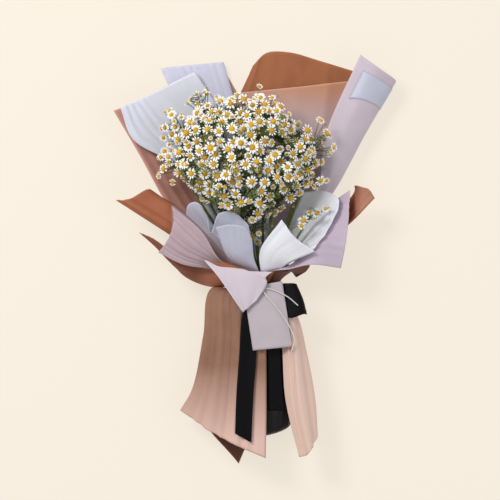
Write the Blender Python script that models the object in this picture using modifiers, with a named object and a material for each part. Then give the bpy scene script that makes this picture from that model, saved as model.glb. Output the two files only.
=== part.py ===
"""A florist's bunch of chamomile in layered wrapping paper, laid on its back.

Frame: millimetres in the tables, metres in the scene. +Z is up, the bunch lies on z = 0,
+Y runs from the skirt of paper to the flowers and +X to the right as one looks down on it.
"""

import math
import random
from collections import namedtuple

import bmesh
import bpy
import numpy as np
from mathutils import Matrix, Vector
from mathutils.kdtree import KDTree

MM = 0.001

# A row of a sheet that lies round the waist.
Ring = namedtuple("Ring", "layer y spread")
GOLDEN_ANGLE = math.radians(137.508)

# The waist, where ribbon and papers are gathered round the stems.
WAIST_X, WAIST_Y, WAIST_Z = 8.0, -33.0, 34.0
BUNDLE_HALF_WIDTH, BUNDLE_HALF_DEPTH = 16.0, 10.0
SHEET = 0.8
FLOOR_SHEET_Z = 0.4
# How far out of the bundle each layer is wound.
TWINE, NECK, LAYER_1, LAYER_2, LAYER_3, LAYER_4, LAYER_5, BAND = 2.55, 2.6, 5.2, 6.9, 8.6, 10.3, 12.0, 14.0
TWINE_Y, TWINE_THICKNESS, TWINE_SEGMENTS = (-36.0, -33.0), 3.5, 16
BAND_Y = (-43.0, -34.0)
NECK_Y = (-36.6, -46.0)
GATHER_FOOT_Y, OUTER_FOOT_Y = -48.0, -44.0
# How the sheets open above the waist, and how much more the outer ones do.
FLARE_Y, FLARE, LAYER_OPENING = (-27.0, -20.0), (4.0, 11.0), 0.05

# The dome of flowers.
DOME = Vector((-14.0, 141.0, 50.0))
DOME_HALF_X, DOME_HALF_Y, DOME_HEIGHT = 100.0, 86.0, 96.0
DOME_BLOOMS, DOME_STEMS = 126, 19
SEED = 14
BLOOM_RADIUS, BLOOM_SIZES = 9.6, (0.86, 1.04)
# Which way the flowers face: out of the dome, towards this, and by chance.
OUTWARD, ALL_FACE, LEAN = 0.55, Vector((0, -0.05, 0.6)), 0.28
# A flower: its disc, petals and stalk.
DISC_SHARE, DISC_HEIGHT = 0.40, 2.6
BLOOM_DEPTH = 1.9
PETALS, PETAL_SPREAD, PETAL_DROOP = 6, 0.72, 0.5
PETAL_KEEL, KEEL_SHARE = 0.8, 0.97
STALK_RADIUS = 0.75
# Clear room round flowers, stalks and stems.
BLOOM_CLEARANCE, PAPER_CLEARANCE, STALK_CLEARANCE = 4.8, 3.0, 3.5
STALK_MISS, STALK_GAP, STEM_GAP = 1.0, 3.2, 4.2
MOST_BEND, BEND_SHARE = 0.5, 0.7
SHEET_SHARES = (0.0, 0.2, 0.4, 0.6, 0.8)
LINE_STEP = 2.5
DEPTH_STEP, DEPTH_STEPS = 3.0, 14
GROUPING_ROUNDS = 25
FORK_PUSHES, PUSH_SHARE = 60, 0.6
# The stems: slots in the tied bundle, feet, and forks under the flowers.
STEM_RADIUS, FORK_RADIUS, STEM_SIDES = 2.1, 1.7, 6
SLOT_RINGS, SLOT_HALF_WIDTH, SLOT_HALF_DEPTH = ((6, 0.56), (12, 1.0)), 14.3, 8.3
STEM_FOOT_Y, FOOT_SHIFT = -214.0, 14.0
FORK_RISE, FORK_FALL, FORK_BELOW, FORK_FLOOR = 0.27, 0.0017, 12.0, 30.0
BRANCH_STEP, BRANCH_LEVELS = 0.014, 8
# The leaves: size, root on the stem, and the ways one may point.
LEAF_LENGTH, LEAF_THICKNESS, LEAF_RIB = 34.0, 0.8, 0.6
LEAF_SHARE, LEAF_FORWARD, LEAF_ROOM = 0.97, 0.8, 3.6
LEAF_WAYS = ((0.5, 0.7), (-0.5, 0.7), (0.9, 0.3), (-0.9, 0.3), (0.1, 1.1), (0.8, -0.1), (-0.8, -0.1))
# Each pair of teeth: place along the leaf and reach, then where a tooth starts, points and ends.
LEAF_TEETH = ((0.3, 4.2), (0.52, 4.6), (0.74, 3.4))
TOOTH_START, TOOTH_POINT, TOOTH_END = -0.09, 0.1, 0.03
WELD = 1e-6
# Flowers that stand out of the dome: x, y, z, radius.
STRAYS = (
    (-82, 229, 56, 7.0), (-126, 182, 62, 8.0), (-117, 200, 58, 8.0), (-128, 124, 74, 8.0),
    (-121, 141, 76, 7.5), (100, 174, 70, 8.5), (110, 154, 72, 7.5), (91, 107, 92, 8.5),
    (86, 62, 92, 7.5), (67, 52, 96, 9.0), (33, 56, 104, 9.0), (2, 38, 98, 9.5),
    (25, 23, 92, 7.0), (-12, 21, 90, 6.5),
)
# The water pouch below its neck: y, middle x, half width, middle z, half height.
POUCH_SECTIONS = (
    (-70, 13, 24, 34, 16), (-100, 17, 30, 32, 20), (-160, 20, 33, 31, 22),
    (-212, 20, 34, 30, 20), (-243, 22, 27, 30, 12),
)
POUCH_SLANT, POUCH_SEGMENTS = 0.25, 12
# The label on the roll: its span and trim as shares of the facets, its thickness and its lift.
LABEL_FOOT, LABEL_HEAD, LABEL_TRIM = 0.75, 0.8, 0.3
LABEL_THICKNESS, LABEL_LIFT = 0.4, 1.0
# The string: its short end, its turn under the flap and its long end.
STRING_ROUTE = (
    (60, -67, 70.5), (46, -55, 73.2), (30, -47, 74.0), (17, -43, 73.6), (10, -43, 73.4),
    (12, -48, 73.6), (29, -68, 75.4), (47, -94, 75.0), (55, -115, 72.6), (51, -131, 70.0),
)
STRING_STEPS, STRING_RADIUS, STRING_SIDES = 2, 0.8, 8
CARD_THICKNESS = 0.6
# Holes in the cover of flowers where leaves and shade show: x, y, radius.
GAPS = ((42, 158, 15), (-14, 142, 10), (36, 121, 7), (-8, 82, 8), (6, 176, 8))

# Colours from the photograph, linear.
BROWN = (0.36, 0.16, 0.08, 1)
PINK = (0.55, 0.43, 0.47, 1)
TISSUE_WHITE = (0.66, 0.67, 0.74, 1)
LABEL_WHITE = (0.54, 0.56, 0.7, 1)
RIBBON_BLACK = (0.004, 0.004, 0.006, 1)
GREEN = (0.05, 0.11, 0.025, 1)
CARD = (0.52, 0.46, 0.49, 1)
STRING_WHITE = (0.8, 0.78, 0.76, 1)
POUCH_BLACK = (0.012, 0.01, 0.011, 1)
TWINE_COLOUR = (0.45, 0.3, 0.16, 1)


def clear_scene():
    for item in list(bpy.data.objects):
        bpy.data.objects.remove(item)


def material(name, colour, roughness):
    made = bpy.data.materials.new(name)
    made.use_nodes = True
    shader = made.node_tree.nodes["Principled BSDF"]
    shader.inputs["Base Color"].default_value = colour
    shader.inputs["Roughness"].default_value = roughness
    shader.inputs["Metallic"].default_value = 0.0
    return made


def add_object(name, mesh, finish, collection):
    """A new object for the mesh, whose points are in millimetres."""
    mesh.transform([[MM, 0, 0, 0], [0, MM, 0, 0], [0, 0, MM, 0], [0, 0, 0, 1]])
    made = bpy.data.objects.new(name, mesh)
    made.data.materials.append(finish)
    collection.objects.link(made)
    return made


def mesh_of(name, points, faces):
    mesh = bpy.data.meshes.new(name)
    mesh.from_pydata([tuple(p) for p in points], [], faces)
    return mesh


# Sheets of paper


def spline(points, steps):
    """A smooth line through the points, with this many steps in each span, or in all."""
    points = np.asarray(points, float)
    gaps = np.sqrt(np.linalg.norm(np.diff(points, axis=0), axis=1)) + 1e-6
    slopes = np.diff(points, axis=0) / gaps[:, None]
    share = (gaps[1:] / (gaps[:-1] + gaps[1:]))[:, None]
    inner = slopes[:-1] * share + slopes[1:] * (1 - share)
    tangents = np.vstack([slopes[:1], inner, slopes[-1:]])
    made = []
    for i, (gap, count) in enumerate(zip(gaps, np.broadcast_to(steps, len(gaps)))):
        for t in np.arange(count) / count:
            a, b = 2 * t**3 - 3 * t**2 + 1, t**3 - 2 * t**2 + t
            c, d = 3 * t**2 - 2 * t**3, t**3 - t**2
            made.append(a * points[i] + b * gap * tangents[i] + c * points[i + 1] + d * gap * tangents[i + 1])
    return np.array([*made, points[-1]])


def surface(angles, rows, across, along):
    """A grid of points on the smooth surface through the rows, each a list of points or a Ring."""
    turns = None
    if angles:
        turns = np.interp(np.arange((len(angles) - 1) * across + 1) / across, np.arange(len(angles)), angles)
    wide = [np.array(ring(turns, *row)) if isinstance(row, Ring) else spline(row, across) for row in rows]
    steps = [1 if isinstance(a, Ring) and isinstance(b, Ring) else along for a, b in zip(rows, rows[1:])]
    return np.array([spline(line, steps) for line in np.swapaxes(wide, 0, 1)]).swapaxes(0, 1)


def sheet(name, rows, finish, collection, angles=(), across=2, along=2, thickness=SHEET):
    """A sheet of paper through rows of points, from its foot to its rim."""
    grid = surface(angles, rows, across, along)
    grid[..., 2] = np.maximum(grid[..., 2], FLOOR_SHEET_Z)
    count, width = grid.shape[:2]
    faces = [
        (i * width + j, i * width + j + 1, (i + 1) * width + j + 1, (i + 1) * width + j)
        for i in range(count - 1)
        for j in range(width - 1)
    ]
    made = add_object(name, mesh_of(name, grid.reshape(-1, 3), faces), finish, collection)
    solid = made.modifiers.new("thickness", "SOLIDIFY")
    solid.thickness = thickness * MM
    solid.offset = 0
    return made


def ring(angles, layer, y, spread=0.0):
    """Points round the waist: angle 0 is right, 90 up, 180 left and 270 down."""
    made = []
    for angle in angles:
        turn = math.radians(angle)
        x = WAIST_X + (BUNDLE_HALF_WIDTH + layer + spread) * math.cos(turn)
        z = WAIST_Z + (BUNDLE_HALF_DEPTH + layer + spread) * math.sin(turn)
        made.append((x, y, max(z, floor_z(layer))))
    return made


def floor_z(layer):
    """The height at which a sheet of this layer lies over those beneath it."""
    return FLOOR_SHEET_Z + (LAYER_5 - layer)


def flared(layer):
    """The rows of a sheet where it passes the waist and opens above it."""
    opening = 1 + LAYER_OPENING * (layer - LAYER_1)
    opened = [Ring(layer, y, spread * opening) for y, spread in zip(FLARE_Y, FLARE)]
    return [Ring(layer, WAIST_Y, 0.0), *opened]


def gathered(layer, foot_y=GATHER_FOOT_Y):
    """The rows of a sheet that ends just below the ribbon."""
    return [Ring(layer, foot_y, 0.0), *flared(layer)]


def wrap_back(finish, collection):
    angles = (212, 240, 270, 300, 328)
    z = FLOOR_SHEET_Z
    rows = [
        [(-23, -291.4, 3), (-12, -268, z), (8, -250, z), (30, -238, z), (50, -224, 3)],
        [(-80, -214, 8), (-40, -200, z), (0, -190, z), (30, -185, z), (56, -180, 6)],
        [(-66, -110, 10), (-34, -110, z), (2, -110, z), (30, -110, z), (52, -108, 8)],
        Ring(LAYER_5, -45.0, 0.0),
        *flared(LAYER_5),
        [(-36, 22, 2), (-18, 24, z), (5, 26, z), (30, 24, z), (46, 20, 3)],
        [(-48, 110, 0.8), (-20, 110, z), (15, 110, z), (50, 110, z), (84, 108, 0.8)],
        [(-37, 190, 0.8), (-5, 200, z), (40, 205, z), (85, 200, z), (128, 190, 0.8)],
        [(-3, 271, 1.4), (16, 289, 1.2), (48, 290, 0.6), (95, 277, 0.5), (160, 257, 1.0)],
    ]
    return sheet("wrap_back", rows, finish, collection, angles, along=1)


def wrap_back_left(finish, collection):
    angles = (179, 208, 238, 266)
    rows = gathered(LAYER_3) + [
        [(-62, 8, 36), (-46, 16, 18), (-24, 22, 6), (2, 26, 2.4)],
        [(-117, 66, 40), (-84, 86, 14), (-44, 100, 3.4), (-2, 105, 2.4)],
        [(-160, 140, 38), (-118, 152, 14), (-64, 172, 3.4), (-6, 190, 2.4)],
        [(-199, 206, 36), (-150, 226, 20), (-98, 246, 8), (-44, 267, 3)],
    ]
    return sheet("wrap_back_left", rows, finish, collection, angles)


# The back sheet with its right side rolled forward: the angles and the rows above the waist.
ROLLED_ANGLES = (274, 298, 320, 340, 354, 364)
ROLLED_ROWS = [
    [(8, 22, 4.4), (22, 22, 5), (36, 18, 10), (46, 14, 18), (50, 12, 25), (50, 14, 31)],
    [(6, 95, 4.2), (45, 98, 4.2), (88, 92, 5), (109, 90, 16), (102, 93, 30), (88, 98, 31)],
    [(2, 170, 4.2), (60, 175, 4.2), (126, 174, 5), (157, 176, 22), (131, 184, 42), (99, 172, 34)],
    [(-20, 233, 5.2), (60, 241, 4.4), (150, 250, 6), (198.8, 247, 25), (174, 266, 46), (148, 285, 40)],
]


def wrap_back_right(finish, collection):
    return sheet("wrap_back_right", gathered(LAYER_3) + ROLLED_ROWS, finish, collection, ROLLED_ANGLES)


def label(finish, collection):
    """The bare label round the roll, across its last facets near the top."""
    facets = surface(ROLLED_ANGLES, gathered(LAYER_3) + ROLLED_ROWS, 2, 2)[-3:, -5:]
    patch = facets.copy()
    patch[0] += (facets[1] - facets[0]) * LABEL_FOOT
    patch[2] = facets[1] + (facets[2] - facets[1]) * LABEL_HEAD
    patch[:, 0] += (patch[:, 1] - patch[:, 0]) * LABEL_TRIM
    patch[:, -1] += (patch[:, -2] - patch[:, -1]) * LABEL_TRIM
    out = np.cross(np.gradient(patch, axis=0), np.gradient(patch, axis=1))
    patch += out / np.linalg.norm(out, axis=2, keepdims=True) * LABEL_LIFT
    return sheet("label", list(patch), finish, collection, across=1, along=1, thickness=LABEL_THICKNESS)


def tissue_back_tall(finish, collection):
    angles = (218, 270, 322)
    rows = gathered(LAYER_2) + [
        [(-28, 34, 8.5), (0, 36, 6.2), (26, 34, 8)],
        [(-72, 130, 10), (-36, 132, 6.6), (-4, 134, 6.2)],
        [(-133, 267, 18), (-88, 272, 12), (-44, 276, 8)],
    ]
    return sheet("tissue_back_tall", rows, finish, collection, angles)


def tissue_back_left(finish, collection):
    angles = (182, 209, 236, 262)
    rows = gathered(LAYER_1) + [
        [(-48, 30, 32), (-34, 38, 18), (-16, 44, 11), (0, 46, 8.6)],
        [(-108, 126, 31), (-80, 138, 17), (-50, 148, 11), (-20, 152, 8.6)],
        [(-171, 166, 46), (-130, 190, 28), (-92, 205, 18), (-52, 212, 12)],
        [(-189, 211, 48), (-158, 224, 35), (-128, 240, 28), (-84, 262, 21)],
    ]
    return sheet("tissue_back_left", rows, finish, collection, angles)


def tissue_front_left(finish, collection):
    angles = (175, 166, 157, 148, 139, 130, 121, 112)
    rows = gathered(LAYER_1) + [
        [(-56, 8, 44), (-50, 16, 52), (-45, 12, 60), (-39, 18, 66),
         (-35, 9, 70), (-27, 18, 73), (-16, 16, 74), (-3, 10, 72)],
        [(-97, 56, 52), (-94, 73, 60), (-83, 78, 70), (-70, 64, 80),
         (-62, 36, 88), (-50, 62, 90), (-28, 62, 92), (-9, 46, 90)],
    ]
    return sheet("tissue_front_left", rows, finish, collection, angles, across=1)


def tissue_front_middle(finish, collection):
    angles = (136, 122, 108, 94)
    rows = gathered(LAYER_2) + [
        [(-38, 0, 78), (-28, 2, 83), (-14, 2, 83), (-1, -2, 76)],
        [(-55, 42, 104), (-38, 46, 110), (-14, 42, 110), (-4, 26, 100)],
    ]
    return sheet("tissue_front_middle", rows, finish, collection, angles)


def tissue_front_right(finish, collection):
    angles = (90, 67, 46)
    rows = gathered(LAYER_2) + [
        [(7, 10, 82), (27, 3, 82), (47, -7, 76.5)],
        [(37, 53, 104), (57, 27, 98), (84, 9, 87)],
    ]
    return sheet("tissue_front_right", rows, finish, collection, angles)


def tissue_side_right(finish, collection):
    angles = (60, 40, 18, -4, -26)
    rows = gathered(LAYER_1) + [
        [(46, -9, 67), (55, 0, 61), (60, 16, 48), (53, 24, 38), (42, 32, 27)],
        [(76, 6, 84), (98, 34, 83), (117, 80, 70), (98, 93, 58), (68, 92, 42)],
    ]
    return sheet("tissue_side_right", rows, finish, collection, angles)


def wrap_left(finish, collection):
    angles = (176, 148, 120, 92)
    rows = [
        [(-105, -215, 30), (-60, -245, 58), (-22, -265, 65), (15, -281, 62)],
        [(-88, -185, 34), (-52, -192, 64), (-18, -195, 66), (16, -200, 63)],
        [(-72, -110, 36), (-44, -110, 62), (-16, -110, 65), (15, -110, 62)],
        [(-61, -44, 37), (-41, -48.5, 56), (-17, -55, 61.5), (10, -58, 60)],
        Ring(LAYER_4, -46.0, 0.0),
        *flared(LAYER_4),
        [(-68, -15, 68), (-62, -7, 76), (-54, -1, 83), (-44, -8, 86)],
        [(-102, -9, 74), (-98, 8, 82), (-88, 24, 88), (-74, 36, 94)],
        [(-135, 7, 66), (-122, 25, 72), (-114, 50, 74), (-116, 72, 70)],
    ]
    return sheet("wrap_left", rows, finish, collection, angles, along=1)


def wrap_right(finish, collection):
    angles = (80, 50, 18, -16)
    rows = [
        [(62, -280, 52), (74, -275, 66), (86, -250, 52), (84, -215, 14)],
        [(43, -198, 57), (58, -205, 70), (82, -195, 50), (74, -180, 14)],
        [(39, -130, 57), (52, -135, 67), (70, -130, 48), (62, -120, 16)],
        [(34, -72, 57), (44, -76, 62), (56, -76, 46), (48, -74, 20)],
        Ring(LAYER_4, -46.0, 0.0),
        *flared(LAYER_4),
        [(44, -17, 66), (62, -2, 63), (72, 12, 48), (68, 18, 28)],
        [(78, -10, 80), (90, 25, 76), (100, 54, 62), (98, 68, 42)],
        [(120, -15, 78), (127, 22, 82), (131, 60, 72), (133, 95, 58)],
    ]
    return sheet("wrap_right", rows, finish, collection, angles, along=1)


def wrap_front(finish, collection):
    angles = (180, 160, 140, 122)
    rows = [
        Ring(LAYER_5, OUTER_FOOT_Y, 0.0),
        Ring(LAYER_5, WAIST_Y, 0.0),
        [(-36, -40, 35), (-33, -35, 47), (-26, -28, 57), (-18, -24, 63)],
        [(-60, -42, 34), (-55, -36, 47), (-50, -28, 55), (-42, -22, 59)],
        [(-98, -28, 36), (-88, -28, 46), (-76, -24, 53), (-66, -14, 56)],
        [(-124, 0, 40), (-112, -12, 46), (-100, -20, 52), (-84, -4, 60)],
        [(-163, 35, 50), (-148, 30, 52), (-132, 20, 56), (-112, 6, 62)],
    ]
    return sheet("wrap_front", rows, finish, collection, angles)


def front_flap(finish, collection):
    angles = (114, 100, 84, 66)
    rows = gathered(LAYER_5, OUTER_FOOT_Y) + [
        [(-46, -14, 90), (-26, -18, 87), (-4, -23, 81), (15, -28, 74)],
        [(-70, -3, 96), (-42, -9, 92), (-6, -20, 86), (17, -34, 78)],
        [(-52, -26, 92), (-34, -32, 90), (-8, -38, 85), (13, -44, 77)],
        [(-17, -77, 76), (-15, -75, 76), (-10, -71, 76), (2, -60, 76)],
    ]
    return sheet("front_flap", rows, finish, collection, angles, along=1)


def wrap_right_outer(finish, collection):
    angles = (58, 42, 26, 10)
    rows = gathered(LAYER_5, OUTER_FOOT_Y) + [
        [(46, -19, 63.5), (58, -17, 58), (64, -21, 46), (56, -26, 34)],
        [(55, -12, 66.5), (76, -9, 66), (72, -19, 50), (58, -28, 36)],
    ]
    return sheet("wrap_right_outer", rows, finish, collection, angles)


def side_left(finish, collection):
    angles = (168, 160, 152, 145)
    rows = gathered(LAYER_3) + [
        [(-66, -3, 46), (-63, 6, 53), (-60, 14, 58), (-56, 20, 60)],
        [(-124, 34, 56), (-120, 50, 62), (-116, 66, 62), (-112, 74, 54)],
        [(-196, 80, 46), (-176, 82, 56), (-152, 95, 60), (-145, 93, 48)],
    ]
    return sheet("side_left", rows, finish, collection, angles, across=1)


def side_right(finish, collection):
    angles = (5, -5, -15)
    rows = gathered(LAYER_5, OUTER_FOOT_Y) + [
        [(78, 8, 38), (80, 14, 30), (78, 20, 22)],
        [(132, 47, 56), (137, 70, 52), (137, 90, 44)],
        [(168, 83, 60), (158, 96, 66), (139, 100, 62)],
    ]
    return sheet("side_right", rows, finish, collection, angles)


# Ribbon, card and string


def closed_band(name, layer, edges, finish, collection, segments=24, thickness=SHEET):
    """A band round the waist between two edges."""
    turns = [360 * i / segments for i in range(segments)]
    points = ring(turns, layer, edges[0]) + ring(turns, layer, edges[1])
    faces = [(i, (i + 1) % segments, segments + (i + 1) % segments, segments + i) for i in range(segments)]
    made = add_object(name, mesh_of(name, points, faces), finish, collection)
    solid = made.modifiers.new("thickness", "SOLIDIFY")
    solid.thickness = thickness * MM
    solid.offset = 0
    return made


def ribbon_loop(finish, collection):
    rows = [
        [(25, -36, 54.9), (25, -40, 54.9), (25, -44, 54.9)],
        [(38, -36, 63), (43, -59, 65.8), (46, -84, 67.6)],
        [(54, -36, 66), (63, -57, 67), (69, -79, 68)],
        [(58, -37, 62), (67, -58, 62), (73, -80, 62)],
        [(54, -36, 58), (63, -57, 58), (69, -79, 58)],
        [(42, -36, 60), (44, -58, 62), (46, -82, 65)],
    ]
    return sheet("ribbon_loop", rows, finish, collection)


def ribbon_tail_left(finish, collection):
    rows = [
        [(-7, -44, 59), (7, -46, 60)],
        [(-18, -78, 67.4), (4, -82, 67.4)],
        [(-22, -135, 68.0), (2, -137, 68.0)],
        [(-26, -190, 68.2), (-2, -192, 68.0)],
        [(-28, -246, 68.4), (-5, -259, 67.6)],
    ]
    return sheet("ribbon_tail_left", rows, finish, collection, across=1)


def ribbon_tail_right(finish, collection):
    rows = [
        [(11, -47, 59.2), (27, -47, 58.6)],
        [(14, -90, 59), (34, -90, 57)],
        [(17.5, -150, 58), (37, -150, 56)],
        [(18, -215, 57), (42, -215, 56)],
    ]
    return sheet("ribbon_tail_right", rows, finish, collection, across=1)


def card(finish, collection):
    rows = [
        [(-17, -39, 68.6), (13, -37, 70.6), (38, -33, 68.9)],
        [(-10, -84, 69.0), (30, -80, 72.0), (45, -78, 70.2)],
        [(-3, -130, 69.6), (46, -125, 72.0), (52, -124, 71.4)],
    ]
    return sheet("card", rows, finish, collection, thickness=CARD_THICKNESS)


def tube(name, points, radii, sides, finish, collection):
    """A closed tube through the points, made a mesh with its caps welded."""
    curve = bpy.data.curves.new(name, "CURVE")
    curve.dimensions = "3D"
    curve.bevel_depth = MM
    curve.bevel_resolution = sides // 2 - 2
    curve.use_fill_caps = True
    line = curve.splines.new("POLY")
    line.points.add(len(points) - 1)
    for place, point, radius in zip(line.points, points, radii):
        place.co = (*(Vector(point) * MM), 1)
        place.radius = radius
    source = bpy.data.objects.new(name + "_line", curve)
    collection.objects.link(source)
    graph = bpy.context.evaluated_depsgraph_get()
    mesh = bpy.data.meshes.new_from_object(source.evaluated_get(graph))
    bpy.data.objects.remove(source)
    work = bmesh.new()
    work.from_mesh(mesh)
    bmesh.ops.remove_doubles(work, verts=work.verts, dist=WELD)
    work.to_mesh(mesh)
    work.free()
    made = bpy.data.objects.new(name, mesh)
    made.data.materials.append(finish)
    collection.objects.link(made)
    return made


def card_string(finish, collection):
    """The string through the card, with its knot under the flap and two free ends."""
    route = spline(STRING_ROUTE, STRING_STEPS)
    return tube("card_string", route, [STRING_RADIUS] * len(route), STRING_SIDES, finish, collection)


def water_pouch(finish, collection):
    """The bag round the stem ends: a neck under the ribbon, and open there."""
    segments = POUCH_SEGMENTS
    rows = [ring([360 * i / segments for i in range(segments)], NECK, y) for y in NECK_Y]
    for y, x, half_x, z, half_z in POUCH_SECTIONS:
        turns = [math.tau * i / segments for i in range(segments)]
        rows.append([
            (x + half_x * math.cos(t), y + POUCH_SLANT * half_x * math.cos(t), z + half_z * math.sin(t))
            for t in turns
        ])
    points = [p for row in rows for p in row]
    faces = [
        (i * segments + j, i * segments + (j + 1) % segments,
         (i + 1) * segments + (j + 1) % segments, (i + 1) * segments + j)
        for i in range(len(rows) - 1)
        for j in range(segments)
    ]
    faces.append([(len(rows) - 1) * segments + j for j in range(segments)])
    made = add_object("water_pouch", mesh_of("water_pouch", points, faces), finish, collection)
    solid = made.modifiers.new("thickness", "SOLIDIFY")
    solid.thickness = SHEET * MM
    solid.offset = 0
    return made


# Flowers


def facing(direction):
    """The rotation that turns +Z to the direction."""
    return Vector(direction).to_track_quat("Z", "Y").to_matrix().to_4x4()


def dome_spots():
    """Where the flowers would sit with nothing in their way: place, way they face, radius."""
    chance = random.Random(SEED)
    spots = []
    for i in range(DOME_BLOOMS):
        reach = math.sqrt((i + 0.5) / DOME_BLOOMS)
        turn = i * GOLDEN_ANGLE
        across = Vector((reach * math.cos(turn), reach * math.sin(turn), math.sqrt(1 - reach * reach)))
        place = DOME + Vector((across.x * DOME_HALF_X, across.y * DOME_HALF_Y, across.z * DOME_HEIGHT))
        way = Vector((across.x / DOME_HALF_X, across.y / DOME_HALF_Y, across.z / DOME_HEIGHT)).normalized()
        spots.append((place, way, BLOOM_RADIUS * chance.uniform(*BLOOM_SIZES)))
        if any(math.hypot(place.x - x, place.y - y) < radius for x, y, radius in GAPS):
            spots.pop()
    for x, y, z, radius in STRAYS:
        place = Vector((x, y, z))
        spots.append((place, (place - DOME).normalized(), radius))
    placed = []
    for place, way, radius in spots:
        lean = Vector([chance.uniform(-1, 1) for _ in range(3)])
        placed.append((place, (way * OUTWARD + ALL_FACE + lean * LEAN).normalized(), radius))
    return placed


def too_near(flower, other):
    """Whether two flat blooms would touch."""
    place, way, radius = flower
    place_2, way_2, radius_2 = other
    between = place_2 - place
    middle = (way + way_2).normalized()
    height = between.dot(middle)
    beside = (between - middle * height).length
    return beside < radius + radius_2 and abs(height) < BLOOM_CLEARANCE + 0.5 * radius * (way - way_2).length


def grouped(spots):
    """The flowers in groups, one for each stem, by where they lie seen from above."""
    seen = np.array([(place.x, place.y) for place, _, _ in spots])
    middles = [np.array((DOME.x, DOME.y))]
    while len(middles) < DOME_STEMS:
        gaps = np.linalg.norm(seen[:, None] - np.array(middles)[None], axis=2).min(1)
        middles.append(seen[gaps.argmax()])
    middles = np.array(middles)
    for _ in range(GROUPING_ROUNDS):
        nearest = np.linalg.norm(seen[:, None] - middles[None], axis=2).argmin(1)
        for k in range(DOME_STEMS):
            middles[k] = seen[nearest == k].mean(0)
    return nearest, middles


def forks(nearest, middles, spots):
    """Where each stem forks into stalks: under its flowers, and higher for those near the waist."""
    found = []
    for k, (x, y) in enumerate(middles):
        lowest = min(spots[i][0].z for i in np.flatnonzero(nearest == k))
        z = WAIST_Z + (y - WAIST_Y) * (FORK_RISE - FORK_FALL * (y - DOME.y))
        found.append(Vector((x, y, max(min(z, lowest - FORK_BELOW), FORK_FLOOR))))
    return found


def line_points(start, end):
    """Points along a line, closely spaced."""
    return np.linspace(start, end, int((end - start).length / LINE_STEP) + 2)


def nearest_gap(points, others):
    """The least distance between two sets of points."""
    return np.linalg.norm(points[:, None] - others[None], axis=2).min()


def off_line(place, start, end):
    """How far a place lies from the line between two others."""
    line = end - start
    share = min(max((place - start).dot(line) / line.length_squared, 0), 1)
    return (place - start - line * share).length


def stands_clear(flower, start, group, walls, lines, placed):
    """Whether a flower and its stalk touch no paper, and nothing of another stem."""
    at, way, radius = flower
    if walls.find(at)[2] < radius + PAPER_CLEARANCE:
        return False
    stalk = line_points(start, at)
    if min(walls.find(point)[2] for point in stalk[len(stalk) // 4:]) < STALK_CLEARANCE:
        return False
    for other_group, points in lines:
        if other_group == group:
            continue
        if nearest_gap(stalk, points) < STALK_GAP:
            return False
        if nearest_gap(np.array([at]), points) < radius * STALK_MISS:
            return False
    return not any(
        too_near(flower, other)
        or other_group != group and off_line(other[0], start, at) < other[2] * STALK_MISS
        for other, _, other_group in placed
    )


def blooms_in_place(spots, nearest, stems, walls):
    """Each flower drawn in towards its fork until it touches neither paper nor another stem."""
    placed = []
    lines = [(group, line_points(*stem)) for group, stem in enumerate(stems)]
    counts = [0] * len(stems)
    for (place, way, radius), group in zip(spots, nearest):
        waist, fork = stems[group]
        line = place - fork
        if way.dot(line.normalized()) < MOST_BEND:
            way = (way + line.normalized() * BEND_SHARE).normalized()
        start = waist + (fork - waist) * (1 - BRANCH_STEP * (counts[group] % BRANCH_LEVELS + 0.5))
        for step in range(DEPTH_STEPS):
            at = fork + line * (1 - step * DEPTH_STEP / line.length)
            if stands_clear((at, way, radius), start, group, walls, lines, placed):
                placed.append(((at, way, radius), start, group))
                lines.append((group, line_points(start, at)))
                counts[group] += 1
                break
    return placed, lines


def leaf_line(waist, fork, side, lift):
    """The rib of a leaf on a stem: its root and its tip."""
    along = (fork - waist).normalized()
    up = Vector((0, 0, 1))
    out = (along * LEAF_FORWARD + up * lift + along.cross(up) * side).normalized()
    root = waist + (fork - waist) * LEAF_SHARE
    return root, root + out * LEAF_LENGTH


def leaves_in_place(stems, placed, lines, walls):
    """For each stem the leaf that has most room, where one has enough."""
    chosen = []
    for group, stem in enumerate(stems):
        tried = []
        for way in LEAF_WAYS:
            line = leaf_line(*stem, *way)
            points = line_points(*line)[2:]
            gaps = [nearest_gap(points, others) for other_group, others in lines if other_group != group]
            gaps += [
                off_line(at, *line) - radius * STALK_MISS
                for (at, _, radius), _, other_group in placed
                if other_group != group
            ]
            gaps.append(min(walls.find(point)[2] for point in points) - SHEET)
            tried.append((min(gaps), line))
        room, line = max(tried, key=lambda one: one[0])
        if room > LEAF_ROOM:
            chosen.append(line)
            lines.append((group, line_points(*line)))
        else:
            chosen.append(None)
    return chosen


def stems_apart(waists, roots):
    """The stems, with forks pushed apart where two stems would touch."""
    stems = [(waist, fork.copy()) for waist, fork in zip(waists, roots)]
    for _ in range(FORK_PUSHES):
        for a in range(len(stems)):
            for b in range(a):
                first, second = line_points(*stems[a]), line_points(*stems[b])
                gaps = np.linalg.norm(first[:, None] - second[None], axis=2)
                i, j = np.unravel_index(gaps.argmin(), gaps.shape)
                if gaps[i, j] < STEM_GAP and min(i, j) > 1:
                    way = Vector(first[i] - second[j]).normalized() * (STEM_GAP - gaps[i, j])
                    stems[a][1].xyz += way * PUSH_SHARE
                    stems[b][1].xyz -= way * PUSH_SHARE
    return stems


def bearing(place):
    """A place as seen from the waist, in the plane across the bunch."""
    run = place.y - WAIST_Y
    return np.array([(place.x - WAIST_X) / run, (place.z - WAIST_Z) / run])


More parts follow.
